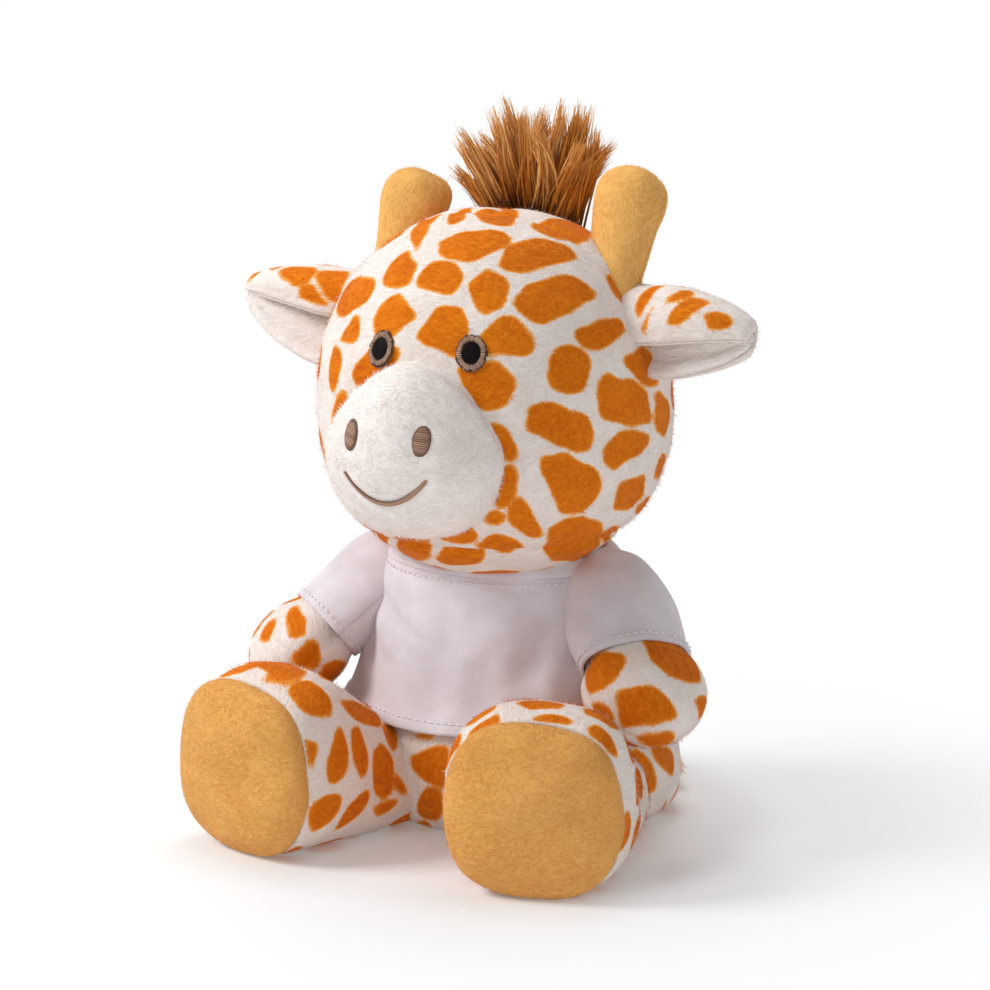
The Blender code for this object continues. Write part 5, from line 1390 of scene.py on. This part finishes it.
# %% Fibres
PILE_COLOURS = {
    "white": colour(250, 244, 240), "orange": colour(232, 130, 22), "tan": colour(246, 188, 106),
}
pile_looks = {}
for key, value in PILE_COLOURS.items():
    look = Finish("pile_" + key, Roughness=0.95, Specular_IOR_Level=0.1)
    look.feed(look.shader.inputs["Base Color"], value)
    look.thin(value, 0.28)
    pile_looks[key] = look.material


def nap(name, count, comb, body, plain=None, where=None, length=0.0013, seed=0):
    """Deals fibres over a cover. Printed covers get white and orange ones."""
    mesh = bpy.data.objects[name].data
    size = len(mesh.vertices)
    places, normals = np.empty(size * 3), np.empty(size * 3)
    mesh.vertices.foreach_get("co", places)
    mesh.vertices.foreach_get("normal", normals)
    places, normals = places.reshape(-1, 3), normals.reshape(-1, 3)
    mesh.calc_loop_triangles()
    corners = np.empty(len(mesh.loop_triangles) * 3, int)
    mesh.loop_triangles.foreach_get("vertices", corners)
    corners = corners.reshape(-1, 3)
    one, two, three = places[corners[:, 0]], places[corners[:, 1]], places[corners[:, 2]]
    areas = np.linalg.norm(np.cross(two - one, three - one), axis=1)
    if where is not None:
        areas = areas * where(places[corners].mean(axis=1))
    chance = np.random.default_rng(900 + seed)
    chosen = corners[chance.choice(len(corners), count, p=areas / areas.sum())]
    shares = chance.dirichlet((1.0, 1.0, 1.0), count)
    roots = (places[chosen] * shares[:, :, None]).sum(axis=1)
    out = unit((normals[chosen] * shares[:, :, None]).sum(axis=1))
    comb = np.asarray(comb, float)
    lie = unit(comb - out * (out @ comb)[:, None] + chance.normal(0.0, 0.35, (count, 3)))
    ways = unit(out * chance.uniform(0.05, 0.42, (count, 1)) + lie)
    lengths = length * chance.uniform(0.6, 1.3, (count, 1))
    tips = roots + ways * lengths
    tips[:, 2] = np.maximum(tips[:, 2], 0.0002)
    side_ways = unit(np.cross(ways, out)) * chance.uniform(0.00005, 0.00010, (count, 1))
    starts = roots - out * 0.0001
    if plain is None:
        spot = np.empty(size, np.float32)
        mesh.attributes["spot"].data.foreach_get("value", spot)
        inked = (spot[chosen] * shares).sum(axis=1) > 0.0
        groups = (("white", ~inked), ("orange", inked))
    else:
        groups = ((plain, np.ones(count, bool)),)
    for key, group in groups:
        if not group.any():
            continue
        many = int(group.sum())
        start, half = starts[group], side_ways[group]
        points = np.stack([start - half, start + half, tips[group]], axis=1).reshape(-1, 3)
        blades = bpy.data.meshes.new(f"{name}_fibres_{key}")
        blades.from_pydata(points.tolist(), [], np.arange(many * 3).reshape(-1, 3).tolist())
        blades.shade_smooth()
        blades.normals_split_custom_set_from_vertices(np.repeat(out[group], 3, axis=0).tolist())
        blades.materials.append(pile_looks[key])
        obj = bpy.data.objects.new(blades.name, blades)
        bpy.context.scene.collection.objects.link(obj)
        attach(obj, body)
    print(name, count, "fibres")


head_middle = HEAD_CENTRE + TOY_SHIFT
muzzle_middle = MUZZLE_CENTRE + TOY_SHIFT

def bare_head(points):
    off_muzzle = np.linalg.norm((points - muzzle_middle) / (MUZZLE_HALF_SIZES * 0.97), axis=1) > 1.0
    off_eyes = np.ones(len(points), bool)
    for eye in SIDES:
        off_eyes &= np.linalg.norm(points - eye_frame(eye)[0] - TOY_SHIFT, axis=1) > 0.0066
    return off_muzzle & off_eyes & (points[:, 2] > head_middle[2] - 0.0415)

def bare_muzzle(points):
    free = np.linalg.norm(points - head_middle, axis=1) > HEAD_RADIUS + 0.0005
    free &= distance_to(points, smile_line + TOY_SHIFT) > 0.0026
    for nostril in SIDES.values():
        spot = muzzle_front(np.array(nostril * NOSTRIL_OUT), np.array(NOSTRIL_RISE))[0] + TOY_SHIFT
        free &= np.linalg.norm((points - spot) * (1.0, 1.0, 0.6), axis=1) > 0.0040
    return free

def above_head(points):
    return np.linalg.norm(points - head_middle, axis=1) > HEAD_RADIUS + 0.0005

def off_floor(points):
    return points[:, 2] > 0.0006

nap("head_plush_cover", 44000, (0.9, 0.25, -0.45), "head", where=bare_head, seed=1)
nap("muzzle_plush_cover", 12000, (0.5, 0.6, -0.4), "head", "white", bare_muzzle, 0.0015, 2)
nap("body_plush_cover", 8000, (0.3, 0.0, -1.0), "torso",
    where=lambda points: points[:, 2] < 0.0285, seed=3)
for name, side in SIDES.items():
    arm, leg, ear = "arm_" + name, "leg_" + name, "ear_" + name
    sleeve_end = SHOULDER * (side, 1.0, 1.0) + TOY_SHIFT
    away = unit((HAND_RESTS_AT - SHOULDER) * (side, 1.0, 1.0))
    nap("arm_plush_cover_" + name, 7500, away + (0.0, 0.0, -0.3), arm,
        where=lambda points: (points - sleeve_end) @ away > SLEEVE_LENGTH + 0.0015, seed=4)
    nap("leg_plush_cover_" + name, 15000, (0.25 * side, -0.9, -0.1), leg, where=off_floor, seed=5)
    nap("sole_plush_" + name, 7000, (0.6, -0.1, -0.7), leg, "tan", off_floor, 0.0010, 6)
    nap("horn_plush_cover_" + name, 4500, (0.2, 0.3, 1.0), "head", "tan", above_head, 0.0010, 7)
    nap("ear_plush_back_" + name, 5000, (side, 0.0, -0.3), ear, length=0.0016, seed=8)
    nap("ear_plush_lining_" + name, 5000, (side, 0.0, -0.3), ear, "white", None, 0.0016, 9)

# %% [markdown]
# ## Studio
# This is a product shot: a white sweep, one big soft light from the upper left in front, and a pale fill. The floor
# glows evenly white further out and still takes the toy's shadow; near the toy its glow is weaker, which darkens the
# floor round the toy as painted shade.

# %% Floor
floor_mesh = bpy.data.meshes.new("floor")
floor_mesh.from_pydata([(-4, -4, 0), (4, -4, 0), (4, 4, 0), (-4, 4, 0)], [], [(0, 1, 2, 3)])
floor = bpy.data.objects.new("floor", floor_mesh)
bpy.context.scene.collection.objects.link(floor)
floor_finish = Finish("floor_paper", Roughness=0.9)
floor_finish.feed(floor_finish.shader.inputs["Base Color"], (0.92, 0.94, 0.955))
spot_here = floor_finish.place()
away = floor_finish.vector("DISTANCE", spot_here, (0.0, 0.0, 0.0))
glow = floor_finish.node("ShaderNodeEmission", {}, {"Color": (1.0, 1.0, 1.0), "Strength": 1.0})
# The floor's glow is weaker near the toy than further out, so the floor round the toy is darker: painted shade. Further
# out it glows evenly white.
fade = floor_finish.range(away, 68.0, 86.0, 0.12, 0.36) + floor_finish.range(away, 82.0, 200.0, 0.0, 0.64)
paper = Socket(floor_finish, floor_finish.shader.outputs[0])
white_sweep = floor_finish.node("ShaderNodeMixShader", {}, {0: fade, 1: paper, 2: glow})
floor_finish.tree.links.new(white_sweep.socket, floor_finish.tree.nodes["Material Output"].inputs["Surface"])
floor_mesh.materials.append(floor_finish.material)

# %% Lights and white surroundings
world = bpy.data.worlds.new("studio")
bpy.context.scene.world = world
world.use_nodes = True
nodes, links = world.node_tree.nodes, world.node_tree.links
backdrop, seen = nodes["Background"], nodes.new("ShaderNodeBackground")
for background, strength in ((backdrop, 0.40), (seen, 1.0)):
    background.inputs["Color"].default_value = (1.0, 1.0, 1.0, 1.0)
    background.inputs["Strength"].default_value = strength
path = nodes.new("ShaderNodeLightPath")
choose = nodes.new("ShaderNodeMixShader")
links.new(path.outputs["Is Camera Ray"], choose.inputs[0])
links.new(backdrop.outputs[0], choose.inputs[1])
links.new(seen.outputs[0], choose.inputs[2])
links.new(choose.outputs[0], nodes["World Output"].inputs[0])


def softbox(name, place, aim, size, power):
    """A square soft light that looks at a point."""
    lamp = bpy.data.lights.new(name, "AREA")
    lamp.size = size
    lamp.energy = power
    obj = bpy.data.objects.new(name, lamp)
    obj.location = place
    obj.rotation_euler = (Vector(aim) - Vector(place)).to_track_quat("-Z", "Y").to_euler()
    bpy.context.scene.collection.objects.link(obj)


TOY_MIDDLE = (0.0, 0.0, 0.09)
softbox("key", (-0.95, -0.62, 0.95), TOY_MIDDLE, 0.5, 13.4)
softbox("fill", (0.7, -1.0, 0.4), TOY_MIDDLE, 0.9, 1.1)
softbox("top", (-0.2, 0.35, 1.1), TOY_MIDDLE, 0.6, 4.4)

# %% [markdown]
# ## Camera
# The camera stands a metre away, a little above the toy and to its left, with a long lens, so that the round forms
# aren't stretched.

# %% Camera
TURN_DEG = 26.5
RISE_DEG = 12.7
CAMERA_AT = Vector((0.45999, -0.91702, 0.32227))
LENS_MM = 141.27
turn, rise = math.radians(TURN_DEG), math.radians(RISE_DEG)
backwards = Vector((math.sin(turn) * math.cos(rise), -math.cos(turn) * math.cos(rise), math.sin(rise)))
rightwards = Vector((math.cos(turn), math.sin(turn), 0.0))
upwards = backwards.cross(rightwards)
camera = bpy.data.objects.new("camera", bpy.data.cameras.new("camera"))
camera.data.sensor_width = 36.0
camera.data.lens = LENS_MM
camera.data.clip_start = 0.01
matrix = Matrix((rightwards, upwards, backwards)).transposed().to_4x4()
matrix.translation = CAMERA_AT
camera.matrix_world = matrix
bpy.context.scene.collection.objects.link(camera)
bpy.context.scene.camera = camera
bpy.context.scene.view_settings.view_transform = "Standard"
print("camera at", [round(v, 3) for v in matrix.translation])
